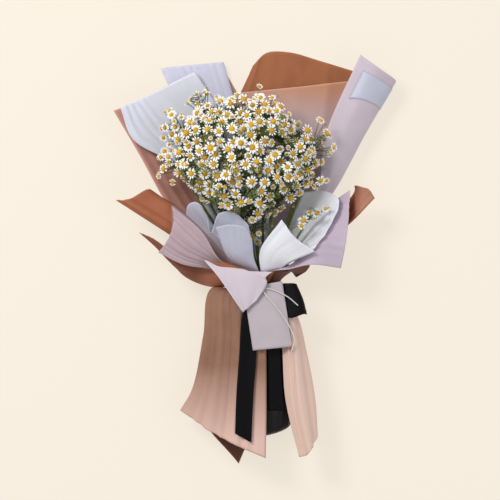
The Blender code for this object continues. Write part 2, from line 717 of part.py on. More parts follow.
def stem_slots(middles):
    """A slot in the tied bundle for each stem, so that no two stems cross."""
    slots = [(0.0, 0.0)]
    for count, reach in SLOT_RINGS:
        turns = [math.tau * (i + 0.5) / count for i in range(count)]
        slots += [(reach * math.cos(turn), reach * math.sin(turn)) for turn in turns]
    slots = np.array(slots) * (SLOT_HALF_WIDTH, SLOT_HALF_DEPTH)
    order = list(range(len(slots)))
    wanted = middles - middles.mean(0)
    swapped = True
    while swapped:
        swapped = False
        for a in range(len(order)):
            for b in range(a):
                gain = (slots[order[a]] - slots[order[b]]) @ (wanted[a] - wanted[b])
                if gain < -1e-9:
                    order[a], order[b] = order[b], order[a]
                    swapped = True
    return slots[order]


def bloom_mesh(name, radius, root):
    """A flower facing +Z on a three-sided stalk from the root: a domed disc and flat petals with a keel."""
    disc = radius * DISC_SHARE
    points = [(0, 0, DISC_HEIGHT)]
    for base in (Vector((0, 0, -BLOOM_DEPTH)), Vector(root)):
        for k in range(3):
            turn = math.tau * (k / 3 + 0.5 / PETALS)
            points.append(tuple(base + STALK_RADIUS * Vector((math.cos(turn), math.sin(turn), 0))))
    faces = [(4, 6, 5)] + [(1 + k, 4 + k, 4 + (k + 1) % 3, 1 + (k + 1) % 3) for k in range(3)]
    step = math.pi / PETALS
    for i in range(PETALS):
        turn = math.tau * i / PETALS
        points.append((disc * math.cos(turn - step), disc * math.sin(turn - step), 0))
        for side in (-PETAL_SPREAD * step, PETAL_SPREAD * step):
            points.append((radius * math.cos(turn + side), radius * math.sin(turn + side), -PETAL_DROOP))
        keel_z = -PETAL_DROOP - PETAL_KEEL
        reach = KEEL_SHARE * radius
        points.append((reach * math.cos(turn), reach * math.sin(turn), keel_z))
        left, tip_1, tip_2, keel = range(7 + 4 * i, 11 + 4 * i)
        right = 7 + 4 * ((i + 1) % PETALS)
        under, next_under = 1 + (i // 2 * 3 // (PETALS // 2)) % 3, 1 + ((i + 1) // 2 * 3 // (PETALS // 2)) % 3
        faces += [(0, left, right), (left, tip_1, tip_2), (left, tip_2, right), (tip_1, keel, tip_2)]
        faces += [(left, keel, tip_1), (right, tip_2, keel), (left, under, keel), (right, keel, under)]
        if under != next_under:
            faces.append((right, under, next_under))
    return mesh_of(name, points, faces)


def leaf_mesh(name, length):
    """A feathery leaf along +X, cut to its rib."""
    side = [(0, LEAF_RIB / 2)]
    for share, reach in LEAF_TEETH:
        side += [(length * (share + TOOTH_START), LEAF_RIB), (length * (share + TOOTH_POINT), reach)]
        side.append((length * (share + TOOTH_END), LEAF_RIB))
    outline = side + [(length, 0)] + [(x, -y) for x, y in reversed(side)]
    count = len(outline)
    points = [(x, y, z) for z in (-LEAF_THICKNESS / 2, LEAF_THICKNESS / 2) for x, y in outline]
    faces = [list(range(count))[::-1], list(range(count, 2 * count))]
    faces += [(i, (i + 1) % count, count + (i + 1) % count, count + i) for i in range(count)]
    return mesh_of(name, points, faces)


def joined(base, pieces, collection):
    """The base with the pieces joined to it by one union."""
    solver = base.modifiers.new("joined", "BOOLEAN")
    solver.operation = "UNION"
    solver.operand_type = "COLLECTION"
    solver.collection = pieces
    solver.solver = "EXACT"
    graph = bpy.context.evaluated_depsgraph_get()
    mesh = bpy.data.meshes.new_from_object(base.evaluated_get(graph))
    base.modifiers.clear()
    base.data = mesh
    for piece in list(pieces.objects):
        bpy.data.objects.remove(piece)
    bpy.data.collections.remove(pieces)
    return base


def spray(name, blooms, stem, leaf, finish, collection):
    """One stem with its stalks, leaf and flowers."""
    pieces = bpy.data.collections.new(name + "_pieces")
    bpy.context.scene.collection.children.link(pieces)
    waist, fork = stem
    foot = Vector((waist.x + FOOT_SHIFT, STEM_FOOT_Y, waist.z))
    radii = (STEM_RADIUS, STEM_RADIUS, FORK_RADIUS)
    made = tube(name, [foot, waist, fork], radii, STEM_SIDES, finish, collection)
    for i, ((place, way, radius), start) in enumerate(blooms):
        turned = Matrix.Translation(place) @ facing(way)
        mesh = bloom_mesh(f"{name}_bloom_{i}", radius, turned.inverted() @ start)
        mesh.transform(turned)
        add_object(mesh.name, mesh, finish, pieces)
    if leaf:
        root, tip = leaf
        out = (tip - root).normalized()
        flat = out.cross(fork - waist).normalized()
        turn = Matrix((out, flat.cross(out).normalized(), flat)).transposed()
        mesh = leaf_mesh(name + "_leaf", LEAF_LENGTH)
        mesh.transform(Matrix.Translation(root) @ turn.to_4x4())
        add_object(mesh.name, mesh, finish, pieces)
    return joined(made, pieces, collection)


def sheet_points(sheets):
    """Points all over the sheets, in millimetres, in a tree."""
    graph = bpy.context.evaluated_depsgraph_get()
    found = []
    for made in sheets:
        mesh = made.evaluated_get(graph).to_mesh()
        corners = np.array([[tuple(mesh.vertices[i].co) for i in face.vertices] for face in mesh.polygons])
        for a in SHEET_SHARES:
            for b in SHEET_SHARES:
                low = corners[:, 0] * (1 - a) + corners[:, 1] * a
                high = corners[:, 3] * (1 - a) + corners[:, 2] * a
                found.append(low * (1 - b) + high * b)
    points = np.concatenate(found) / MM
    walls = KDTree(len(points))
    for i, point in enumerate(points):
        walls.insert(point, i)
    walls.balance()
    return walls


def build():
    clear_scene()
    collection = bpy.data.collections.new("chamomile_bunch")
    bpy.context.scene.collection.children.link(collection)
    two_tone = material("two_tone_paper", PINK, 0.7)
    tissue = material("tissue", TISSUE_WHITE, 0.6)
    satin = material("satin", RIBBON_BLACK, 0.35)
    wraps = (
        wrap_back, wrap_back_left, wrap_back_right, wrap_left, wrap_right,
        wrap_front, front_flap, wrap_right_outer, side_left, side_right,
    )
    tissues = (
        tissue_back_tall, tissue_back_left, tissue_front_left,
        tissue_front_middle, tissue_front_right, tissue_side_right,
    )
    sheets = [make(two_tone, collection) for make in wraps] + [make(tissue, collection) for make in tissues]
    closed_band("ribbon_band", BAND, BAND_Y, satin, collection)
    ribbon_loop(satin, collection)
    ribbon_tail_left(satin, collection)
    ribbon_tail_right(satin, collection)
    label(material("label", LABEL_WHITE, 0.5), collection)
    card(material("card", CARD, 0.6), collection)
    card_string(material("string", STRING_WHITE, 0.8), collection)
    water_pouch(material("pouch_plastic", POUCH_BLACK, 0.3), collection)
    twine = material("twine", TWINE_COLOUR, 0.9)
    closed_band("twine_tie", TWINE, TWINE_Y, twine, collection, TWINE_SEGMENTS, TWINE_THICKNESS)
    spots = dome_spots()
    nearest, middles = grouped(spots)
    roots = forks(nearest, middles, spots)
    slots = stem_slots(np.array([bearing(root) for root in roots]))
    stems = stems_apart([Vector((WAIST_X + x, WAIST_Y, WAIST_Z + z)) for x, z in slots], roots)
    walls = sheet_points(sheets)
    placed, lines = blooms_in_place(spots, nearest, stems, walls)
    leaves = leaves_in_place(stems, placed, lines, walls)
    green = material("chamomile", GREEN, 0.6)
    for k, (stem, leaf) in enumerate(zip(stems, leaves)):
        blooms = [(flower, start) for flower, start, group in placed if group == k]
        spray(f"spray_{k + 1:02d}", blooms, stem, leaf, green, collection)


build()
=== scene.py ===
"""How the bunch of chamomile looks: finer papers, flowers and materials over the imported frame.

Tables are in millimetres in the frame of the CAD: +Z up, +Y from the skirt of paper to the
flowers, +X right as the camera looks down on the bunch.
"""

import math
import random
from collections import namedtuple

import bpy
import numpy as np
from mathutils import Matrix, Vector
from mathutils.kdtree import KDTree
from numpy.linalg import norm


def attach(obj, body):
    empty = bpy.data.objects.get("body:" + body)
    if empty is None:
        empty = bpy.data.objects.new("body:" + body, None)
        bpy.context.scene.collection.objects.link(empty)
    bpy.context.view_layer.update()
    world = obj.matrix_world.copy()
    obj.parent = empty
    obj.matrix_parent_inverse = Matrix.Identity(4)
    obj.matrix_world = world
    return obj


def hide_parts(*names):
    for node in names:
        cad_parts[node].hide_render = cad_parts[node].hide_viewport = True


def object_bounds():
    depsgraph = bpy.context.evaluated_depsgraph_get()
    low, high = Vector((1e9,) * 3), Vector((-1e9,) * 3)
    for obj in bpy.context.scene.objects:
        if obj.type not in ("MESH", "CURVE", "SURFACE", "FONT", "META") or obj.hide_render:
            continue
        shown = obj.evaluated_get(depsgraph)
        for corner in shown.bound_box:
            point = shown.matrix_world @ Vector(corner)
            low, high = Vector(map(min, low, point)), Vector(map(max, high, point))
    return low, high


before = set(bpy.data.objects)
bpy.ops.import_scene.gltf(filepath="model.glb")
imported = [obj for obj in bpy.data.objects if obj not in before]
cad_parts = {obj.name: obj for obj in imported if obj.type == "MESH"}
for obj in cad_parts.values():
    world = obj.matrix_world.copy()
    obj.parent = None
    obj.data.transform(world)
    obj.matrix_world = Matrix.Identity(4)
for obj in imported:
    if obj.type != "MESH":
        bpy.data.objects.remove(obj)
cad_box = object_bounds()

MM = 0.001
# Lengths too small to divide by.
TINY_GAP, TINY = 1e-6, 1e-9
# The materials by name.
PALETTE = {}

# The camera looks straight down on the middle of the picture, which is this wide.
VIEW_X, VIEW_Y, VIEW_Z, VIEW_WIDTH = -7.0, 10.5, 60.0, 700.0
CAMERA_HEIGHT, SENSOR = 6000.0, 36.0

# A row of a sheet that lies round the waist.
Ring = namedtuple("Ring", "layer y spread")

# The waist, where ribbon and papers are gathered round the stems.
WAIST_X, WAIST_Y, WAIST_Z = 8.0, -33.0, 34.0
BUNDLE_HALF_WIDTH, BUNDLE_HALF_DEPTH = 16.0, 10.0
# How far outside the bundle of stems each layer lies, and where it starts and ends.
TWINE, NECK, BAND = 2.55, 2.6, 14.0
LAYER_1, LAYER_2, LAYER_3, LAYER_4, LAYER_5 = 5.2, 6.9, 8.6, 10.3, 12.0
TWINE_Y, BAND_Y, NECK_Y = (-36.0, -33.0), (-43.0, -34.0), (-36.6, -46.0)
GATHER_FOOT_Y, OUTER_FOOT_Y = -48.0, -44.0
# The height of the lowest sheet, and how the papers open above the waist.
LOW_Z = 0.4
FLARE_Y, FLARE, LAYER_OPENING = (-27.0, -20.0), (4.0, 11.0), 0.05

# The papers: how finely they are drawn and how thick they are.
FINE, PAPER_THICKNESS, SATIN_THICKNESS, CARD_THICKNESS = 3.6, 0.3, 0.4, 0.5

# The flowers of the CAD sprays: what a flower's corners look like there, and where a stem stands.
CAD_PETALS, CAD_DISC_HEIGHT, CAD_TOLERANCE, DISC_SHARE = 6, 2.6, 0.12, 0.40
STEM_FOOT_Y, FOOT_SHIFT, STEM_SLACK, STEM_RUN = -214.0, 14.0, 5.0, 25.0
LEAF_SHARE, FLOWER_ROOM = 0.97, 1.1

# The string: its short end, its turn under the flap and its long end.
STRING_ROUTE = (
    (60, -67, 70.5), (46, -55, 73.2), (30, -47, 74.0), (17, -43, 73.6), (10, -43, 73.4),
    (12, -48, 73.6), (29, -68, 75.4), (47, -94, 75.0), (55, -115, 72.6), (51, -131, 70.0),
)
STRING_STEPS, STRING_RADIUS, STRING_ROUNDNESS = 3, 0.8, 3
# The water pouch below its neck: y, middle x, half width, middle z, half height.
POUCH_SECTIONS = (
    (-70, 13, 24, 34, 16), (-100, 17, 30, 32, 20), (-160, 20, 33, 31, 22),
    (-212, 20, 34, 30, 20), (-243, 22, 27, 30, 12),
)
POUCH_SLANT = 0.25

# The folds of the papers: waves a sheet, how they drift, where they start and how fast they grow.
PLEAT_WAVES, PLEAT_DRIFT, PLEAT_SHARPNESS = 3, 0.006, 0.8
PLEAT_START, PLEAT_GROWTH, PLEAT_EASE, PLEAT_TURNS = 14.0, 70.0, 1.3, (0.5, 1.6)
EDGE_WEAR, UV_SCALE, SKIRT_Y = 1.2, 0.1, -40.0

# Each sheet: its finish above and under, then above and under on the skirt, which for some
# sheets is painted light and shade; the height and number of its folds, its thickness and its slot.
Finish = namedtuple("Finish", "sides folds count thickness slot")


def two_tone(above, under, folds, count, skirt=None, skirt_under=None):
    sides = (above, under, skirt or above, skirt_under or under)
    return Finish(sides, folds, count, PAPER_THICKNESS, "two_tone_paper")


def of_tissue(kind, folds, count):
    return Finish((kind,) * 4, folds, count, PAPER_THICKNESS, "tissue")


def of_satin(folds, count):
    return Finish(("satin",) * 4, folds, count, SATIN_THICKNESS, "satin")


# The slots of the sheets that the added flowers and leaves keep clear of.
PAPER_SLOTS = ("two_tone_paper", "tissue")
FINISHES = {
    "wrap_back": two_tone("brown", "pink", 1.2, 3, "brown_dark", "brown"),
    "wrap_back_left": two_tone("rose", "brown", 1.5, 4),
    "wrap_back_right": two_tone("mauve", "lilac", 1.2, 3),
    "wrap_left": two_tone("mauve_low", "brown", (0.9, 2.8), 5, "tan_left", "pink"),
    "wrap_right": two_tone("brown", "mauve_right", (1.2, 2.6), 5, "tan_right", "pink"),
    "wrap_front": two_tone("brown_front", "umber", 1.5, 3),
    "front_flap": two_tone("brown", "flap", 1.6, 2),
    "wrap_right_outer": two_tone("brown_low", "umber", 1.2, 2),
    "side_left": two_tone("brown_left", "pink", 1.8, 2),
    "side_right": two_tone("pink", "brown_right", 1.8, 2),
    "tissue_back_tall": of_tissue("tissue_white", 1.6, 4),
    "tissue_back_left": of_tissue("tissue_blue", 2.0, 4),
    "tissue_front_left": of_tissue("tissue_front", 1.4, 4),
    "tissue_front_middle": of_tissue("tissue_front", 1.6, 3),
    "tissue_front_right": of_tissue("tissue_right", 1.6, 3),
    "tissue_side_right": of_tissue("tissue_right", 1.6, 4),
    "ribbon_loop": of_satin(0.4, 2),
    "ribbon_tail_left": of_satin(0.5, 1),
    "ribbon_tail_right": of_satin(0.5, 1),
    "card": Finish(("card",) * 4, 0.4, 1, CARD_THICKNESS, "card"),
}

# Colours on the screen, each with the one that it is mottled with and, for some, how it fades into
# another: the axis, where that starts and ends, and the other colour.
PAPER_COLOURS = (
    # The darker brown on this line is the brown side painted darker: painted shade on the back of the
    # skirt.
    ("brown", (167, 103, 64), (150, 89, 53)), ("brown_dark", (98, 54, 38), (80, 44, 32)),
    # The front curl's brown is painted lighter where its roll is lit, and from x -66 to -84 it fades into
    # painted shadow in the curl's hollow.
    ("brown_front", (186, 118, 90), (164, 102, 76), (0, -66, -84, (134, 78, 58))),
    # This darker brown is the brown side painted darker: painted shade.
    ("brown_low", (108, 66, 50), (94, 57, 43)),
    # This brown fades from x -118 to -113 into pale mauve: partly the paper's mauve side past the fold,
    # partly a painted highlight along the fold.
    ("brown_left", (174, 103, 70), (150, 84, 54), (0, -118, -113, (170, 148, 156))),
    # This brown is painted darker inside the curl, painted shade, and from x 136 to 150 it fades into a
    # painted lit band.
    ("brown_right", (140, 72, 48), (122, 60, 40), (0, 136, 150, (184, 128, 104))),
    # The darkest brown on this line is the brown side painted very dark: painted shade inside the curls.
    ("umber", (80, 43, 33), (62, 32, 26)), ("pink", (205, 180, 182), (192, 166, 168)),
    # This rose is the pink side painted darker and browner: painted shade with a painted brown reflection,
    # a little lighter from y 60 to 200.
    ("rose", (190, 136, 122), (172, 120, 108), (1, 60, 200, (194, 142, 130))),
    # This mauve turns brown from y 188 to 240: painted light through the thin top edge and a painted
    # reflection of the brown sheet behind.
    ("mauve", (208, 186, 191), (194, 172, 178), (1, 188, 240, (198, 142, 112))),
    ("mauve_low", (182, 162, 170), (170, 149, 158)), ("mauve_right", (196, 181, 198), (183, 168, 186)),
    ("lilac", (207, 194, 206), (196, 183, 196)), ("flap", (222, 210, 222), (212, 199, 211)),
    # The skirt tans are the brown side painted lighter where light falls, darker near the waist and
    # lighter towards the foot: painted light and shade.
    ("tan_left", (153, 112, 91), (132, 94, 75), (1, -150, -255, (226, 190, 178))),
    ("tan_right", (224, 196, 184), (210, 181, 168), (1, -60, -260, (230, 199, 184))),
)
TISSUE_COLOURS = (
    ("tissue_white", (221, 221, 239), (205, 206, 225)),
    ("tissue_blue", (233, 236, 249), (217, 220, 234)),
    ("tissue_front", (210, 212, 228), (192, 194, 211)),
    # This tissue is painted lighter than the others: painted light that lifts the shade it lies in.
    ("tissue_right", (246, 247, 255), (232, 234, 248)),
)

# Ribbon band, pouch, twine and label, in fine steps.
BAND_SIDES, BAND_ROWS, BAND_TURNS, BAND_SWELL = 96, 9, 2, 0.5
POUCH_SIDES, POUCH_STEPS, POUCH_THICKNESS = 72, 8, 0.25
# Wrinkles of the band and the pouch: their height and how many at most.
BAND_WRINKLES, POUCH_WRINKLES = (0.35, 9), (0.9, 13)
WRINKLE_WAVES, WRINKLE_LEAST = 4, 0.6
POUCH_END = ((0.85, 3.0), (0.6, 5.0), (0.3, 6.0), (0.05, 6.2))
TWINE_STEPS, TWINE_TURNS, TWINE_RADIUS, TWINE_SIDES = 200, 3, 0.7, 6
TWINE_LAYERS = ((TWINE - 0.9, 1), (TWINE + 0.8, -1))
LABEL_ALONG, LABEL_ACROSS, LABEL_LIFT, LABEL_THICKNESS = (0.83, 0.965), (0.66, 0.96), 1.0, 0.25

# A spray of flowers as the CAD holds it.
Spray = namedtuple("Spray", "flowers stem leaf")
LEAF_LENGTH, LEAF_SLACK, LEAF_CLEAR = 34.0, 1.5, 3.0
STEM_RADIUS, FORK_RADIUS, STEM_SIDES, STEM_STEPS = 2.1, 1.7, 10, 12
FORK_SPREAD = 0.1
# Finishes of a spray's mesh.
PETAL, DISC, BUD, GREEN = 0, 1, 2, 3
PLANTS = ("petal", "disc", "bud", "green")

# A flower, from the bottom up: shares of the disc's radius and height.
CUP_PROFILE = ((0.16, -0.95), (0.45, -0.75), (0.85, -0.45), (1.0, -0.12))
DISC_PROFILE = (
    (0.85, -0.2), (1.0, 0.02), (0.95, 0.32), (0.8, 0.62), (0.58, 0.84), (0.32, 0.96), (0.02, 1.0),
)
DISC_SIDES, CUP_SIDES, DISC_BUMPS = 14, 10, 0.05
DISC_SIZES, DISC_HEIGHTS = (0.4, 0.48), (0.55, 0.8)
# Rows of a petal: how far along, half its width, and how far its middle stands back.
PETAL_ROWS = np.array([
    (0, 0.45, 0), (0.22, 0.8, 0), (0.5, 1.0, 0), (0.78, 0.95, 0), (0.94, 0.68, 0.1), (1.0, 0.36, -0.4),
])
PETAL_SIDES, PETAL_RIDGE, PETAL_NOTCH = (-1.0, -0.34, 0.34, 1.0), (0.0, 0.12, 0.12, 0.0), 0.1
PETAL_COUNTS, PETAL_ROOT, PETAL_WIDTH, PETAL_SHORT = (10, 13), 0.85, 0.15, 0.5
PETAL_STRAY, PETAL_MISSING, PETAL_LAYER = 0.2, 0.05, 0.18
PETAL_LENGTHS, PETAL_WIDTHS = (0.85, 1.06), (0.8, 1.12)
LIFT_OPEN, LIFT_SHUT, SHUT_EASE, LIFT_STRAY, CUP_TONE = (-0.25, 0.3), 1.3, 1.5, 0.14, 0.75
# How near to the Y axis a way may point before another axis stands in for it.
NEARLY_Y = 0.9
DROOPS, CUPS = (0.02, 0.16), (0.0, 0.4)
BUD_OPENNESS, OPENNESS = 0.2, (0.66, 1.0)
# Stalks and leaves.
STALK_BEND, STALK_STEPS, STALK_ROOT, STALK_TIP, STALK_SIDES = 0.22, 9, 0.85, 0.55, 6
STALK_DEPTH, STALK_LEAST, FULL_RADIUS, STALK_TONES, END_TONE = 0.3, 0.6, 9.6, (0.45, 0.85), 0.3
RIB_BEND, RIB_STEPS, RIB_WIDTH = 0.12, 7, 0.9
THREAD_GAP, THREAD_REACH, THREAD_WIDTH, THREAD_TIP, THREAD_LIFT = 2.6, 0.36, 1.0, 0.4, 0.35
THREAD_LENGTHS, THREAD_LEANS = (0.8, 1.15), (0.5, 0.9)
LEAST_PAIRS, PAIR_START, PAIR_SPARE = 3, 0.8, 0.6
# A leaf's outline: where it starts on half a wave, and its run. Its forklets: place and spread.
LEAF_OUTLINE, FORKLETS = (0.12, 0.8), ((0.45, 0.9), (0.72, 0.25))
FORKLET_LEAN, FORKLET_REACH = 0.9, 0.42
LEAVES_TRIED, LEAVES_EACH, LEAF_SIZES, LEAF_OFF_PAPER = 220, 52, (14.0, 32.0), 2.5
LEAF_ROOTS, LEAF_LEANS, LEAF_UNDER = (0.1, 0.9), (0.3, 1.1), 0.8
LEAF_MIDDLE, LEAF_HALF = (-12.0, 136.0), (88.0, 80.0)
# Leaves get a darker tone below this height, painted shade deep in the bunch, and a lighter one over this
# run above it.
LEAF_SHADE_Z, LEAF_SHADE_RUN, LEAF_TILT = 60.0, 70.0, 0.6
# The tone of greenery, from dark to light: stems, CAD leaves, and the least and the rest of others.
STEM_TONE, BIG_LEAF_TONE, LEAF_TONES, LEAF_TONE_SHARES = 0.55, 0.6, (0.1, 0.6), (0.6, 1.0)
# Small flowers and buds: radii, how open they are, and how many.
SMALL_KINDS = (((6.0, 8.4), (0.6, 1.0), 120), ((4.0, 6.4), (0.3, 0.8), 90), ((2.2, 3.4), (0.0, 0.2), 110))
SMALL_TRIES, SMALL_ASIDE, SMALL_BELOW, SMALL_LEAN = 6000, (7.0, 20.0), (-4.0, 14.0), 0.45
SHOWS_BETWEEN, FITS_BESIDE, FITS_ABOVE, SMALL_OFF_PAPER = 0.5, 0.9, 3.2, 2.0
# How far a small flower, for its radius, and a leaf's tip keep below the top of the CAD.
SMALL_RISE, LEAF_RISE = 0.8, 4.0

# The studio, in metres.
FLOOR_COLOUR, FLOOR_PAINT, FLOOR_GLOW, FLOOR_ROUGHNESS = (249, 240, 225), (132, 127, 120), 0.74, 0.9
FLOOR_HALF, FLOOR_DROP, AIM_Z, VIEW_DEPTH = 4, 0.0004, 0.05, 20
WORLD_COLOUR, WORLD_STRENGTH = (1.0, 0.985, 0.97), 0.5
LIGHTS = (
    ("key", (-1.3, 1.3, 2.0), 0.9, 42.0, (1.0, 0.98, 0.95)),
    ("fill", (1.6, -0.6, 1.6), 1.4, 9.0, (0.95, 0.97, 1.0)),
)


# Sheets of paper


def spline(points, steps):
    """A smooth line through the points, with this many steps in each span, or in all."""
    points = np.asarray(points, float)
    gaps = np.sqrt(norm(np.diff(points, axis=0), axis=1)) + TINY_GAP
    slopes = np.diff(points, axis=0) / gaps[:, None]
    share = (gaps[1:] / (gaps[:-1] + gaps[1:]))[:, None]
    inner = slopes[:-1] * share + slopes[1:] * (1 - share)
    tangents = np.vstack([slopes[:1], inner, slopes[-1:]])
    made = []
    for i, (gap, count) in enumerate(zip(gaps, np.broadcast_to(steps, len(gaps)))):
        for t in np.arange(count) / count:
            a, b = 2 * t**3 - 3 * t**2 + 1, t**3 - 2 * t**2 + t
            c, d = 3 * t**2 - 2 * t**3, t**3 - t**2
            near = a * points[i] + b * gap * tangents[i]
            made.append(near + c * points[i + 1] + d * gap * tangents[i + 1])
    return np.array([*made, points[-1]])


def span_steps(rows):
    """How many fine steps each span needs, by its longest length over the rows."""
    lengths = norm(np.diff(np.array(rows, float), axis=1), axis=2).max(0)
    return np.maximum(1, np.ceil(lengths / FINE).astype(int))


def surface(angles, rows):
    """A fine grid of points on the smooth surface through the rows, each a list of points or a Ring."""
    across = span_steps([row for row in rows if not isinstance(row, Ring)])
    turns = None
    if angles:
        shares = [i + t / count for i, count in enumerate(across) for t in range(count)]
        turns = np.interp([*shares, len(across)], np.arange(len(angles)), angles)
    wide = np.array([ring(turns, *row) if isinstance(row, Ring) else spline(row, across) for row in rows])
    along = span_steps(np.swapaxes(wide, 0, 1))
    return np.array([spline(line, along) for line in np.swapaxes(wide, 0, 1)]).swapaxes(0, 1)


def way_out(grid):
    """The direction square to the grid at each of its points."""
    out = np.cross(np.gradient(grid, axis=1), np.gradient(grid, axis=0))
    return out / np.maximum(norm(out, axis=2, keepdims=True), TINY)


def measured(grid):
    """How far each point lies along its row from its middle, and along its column from the waist."""
    across = norm(np.diff(grid, axis=1), axis=2)
    across = np.hstack([np.zeros((len(grid), 1)), np.cumsum(across, axis=1)])
    across -= across[:, -1:] / 2
    along = norm(np.diff(grid, axis=0), axis=2)
    along = np.vstack([np.zeros((1, grid.shape[1])), np.cumsum(along, axis=0)])
    waist = np.abs(grid[:, grid.shape[1] // 2, 1] - WAIST_Y).argmin()
    return across, along - along[waist]


def edge_distance(grid):
    """How far each point is from the nearest edge of its sheet."""
    across, along = measured(grid)
    sides = np.minimum(across - across[:, :1], across[:, -1:] - across)
    return np.minimum(sides, np.minimum(along - along[:1], along[-1:] - along))


def pleated(grid, name, height, count):
    """The grid with soft folds that run out from the waist, none of them there."""
    chance = random.Random(name)
    _, along = measured(grid)
    share = np.linspace(0, 1, grid.shape[1])[None]
    reach = np.abs(along)
    wave = np.zeros(grid.shape[:2])
    for _ in range(PLEAT_WAVES):
        turns = count * chance.uniform(*PLEAT_TURNS)
        drift = chance.uniform(-PLEAT_DRIFT, PLEAT_DRIFT)
        phase = chance.uniform(0, math.tau)
        wave += np.sin(math.tau * turns * share + drift * reach + phase) / PLEAT_WAVES
    wave = 1 - 2 * np.abs(wave) ** PLEAT_SHARPNESS
    grown = np.clip((reach - PLEAT_START) / PLEAT_GROWTH, 0, 1) ** PLEAT_EASE
    above, below = np.broadcast_to(height, 2)
    return grid + way_out(grid) * (np.where(along < 0, below, above) * wave * grown)[..., None]


def grid_faces(rows, columns, closed=False):
    """The four-cornered faces of a grid of points, joined round its columns if it is closed."""
    row, column = np.meshgrid(np.arange(rows - 1), np.arange(columns - 1 + closed), indexing="ij")
    after = (column + 1) % columns
    low, high = row * columns, (row + 1) * columns
    return np.stack([low + column, low + after, high + after, high + column], axis=-1).reshape(-1, 4)


def write_floats(mesh, name, values):
    """A number for each corner of the mesh, for its materials to read."""
    layer = mesh.attributes.new(name, "FLOAT", "POINT")
    layer.data.foreach_set("value", np.asarray(values, np.float32).ravel())


def linked(name, data):
    """A new object in the scene."""
    made = bpy.data.objects.new(name, data)
    bpy.context.scene.collection.objects.link(made)
    return made


def add_piece(name, data, materials):
    """A new piece in metres that rides with the bunch in the place of its CAD solid."""
    for key in materials:
        data.materials.append(PALETTE[key])
    made = linked(name + "_fine", data)
    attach(made, "root")
    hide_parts(name)
    return made


def thin_piece(name, grid, faces, materials, thickness):
    """A piece of thin sheet on a grid of points, with half its thickness to each side."""
    mesh = bpy.data.meshes.new(name)
    mesh.from_pydata(grid.reshape(-1, 3) * MM, [], faces)
    mesh.shade_smooth()
    made = add_piece(name, mesh, materials)
    solid = made.modifiers.new("thickness", "SOLIDIFY")
    solid.thickness = thickness * MM
    solid.offset = 0
    return made


def fine_grid(name):
    """The fine points of a sheet with its folds, clear of the floor."""
    grid = pleated(surface(*SHEETS[name]), name, FINISHES[name].folds, FINISHES[name].count)
    grid[..., 2] = np.maximum(grid[..., 2], LOW_Z)
    return grid


def sheet(name):
    """A sheet of paper, tissue, satin or card, with its worn edge, its flat places and its skirt."""
    finish = FINISHES[name]
    grid = fine_grid(name)
    faces = grid_faces(*grid.shape[:2])
    made = thin_piece(name, grid, faces.tolist(), finish.sides, finish.thickness)
    made.modifiers["thickness"].material_offset = 1
    write_floats(made.data, "edge", np.exp(-edge_distance(grid) / EDGE_WEAR))
    across, along = measured(grid)
    corners = faces.ravel()
    flat = np.stack([across.ravel()[corners], along.ravel()[corners]], axis=1) * UV_SCALE
    places = made.data.uv_layers.new(name="sheet")
    places.data.foreach_set("uv", flat.astype(np.float32).ravel())
    below = grid.reshape(-1, 3)[faces].mean(1)[:, 1] < SKIRT_Y
    made.data.polygons.foreach_set("material_index", np.where(below, 2, 0).astype(np.int32))
    return made


def ring(angles, layer, y, spread=0.0):
    """Points round the waist: angle 0 is right, 90 up, 180 left and 270 down."""
    made = []
    for angle in angles:
        turn = math.radians(angle)
        x = WAIST_X + (BUNDLE_HALF_WIDTH + layer + spread) * math.cos(turn)
        z = WAIST_Z + (BUNDLE_HALF_DEPTH + layer + spread) * math.sin(turn)
        made.append((x, y, max(z, floor_z(layer))))
    return made


def floor_z(layer):
    """The height at which a sheet of this layer lies over those beneath it."""
    return LOW_Z + (LAYER_5 - layer)


def flared(layer):
    """The rows of a sheet where it passes the waist and opens above it."""
    opening = 1 + LAYER_OPENING * (layer - LAYER_1)
    opened = [Ring(layer, y, spread * opening) for y, spread in zip(FLARE_Y, FLARE)]
    return [Ring(layer, WAIST_Y, 0.0), *opened]


def gathered(layer, foot_y=GATHER_FOOT_Y):
    """The rows of a sheet that ends just below the ribbon."""
    return [Ring(layer, foot_y, 0.0), *flared(layer)]


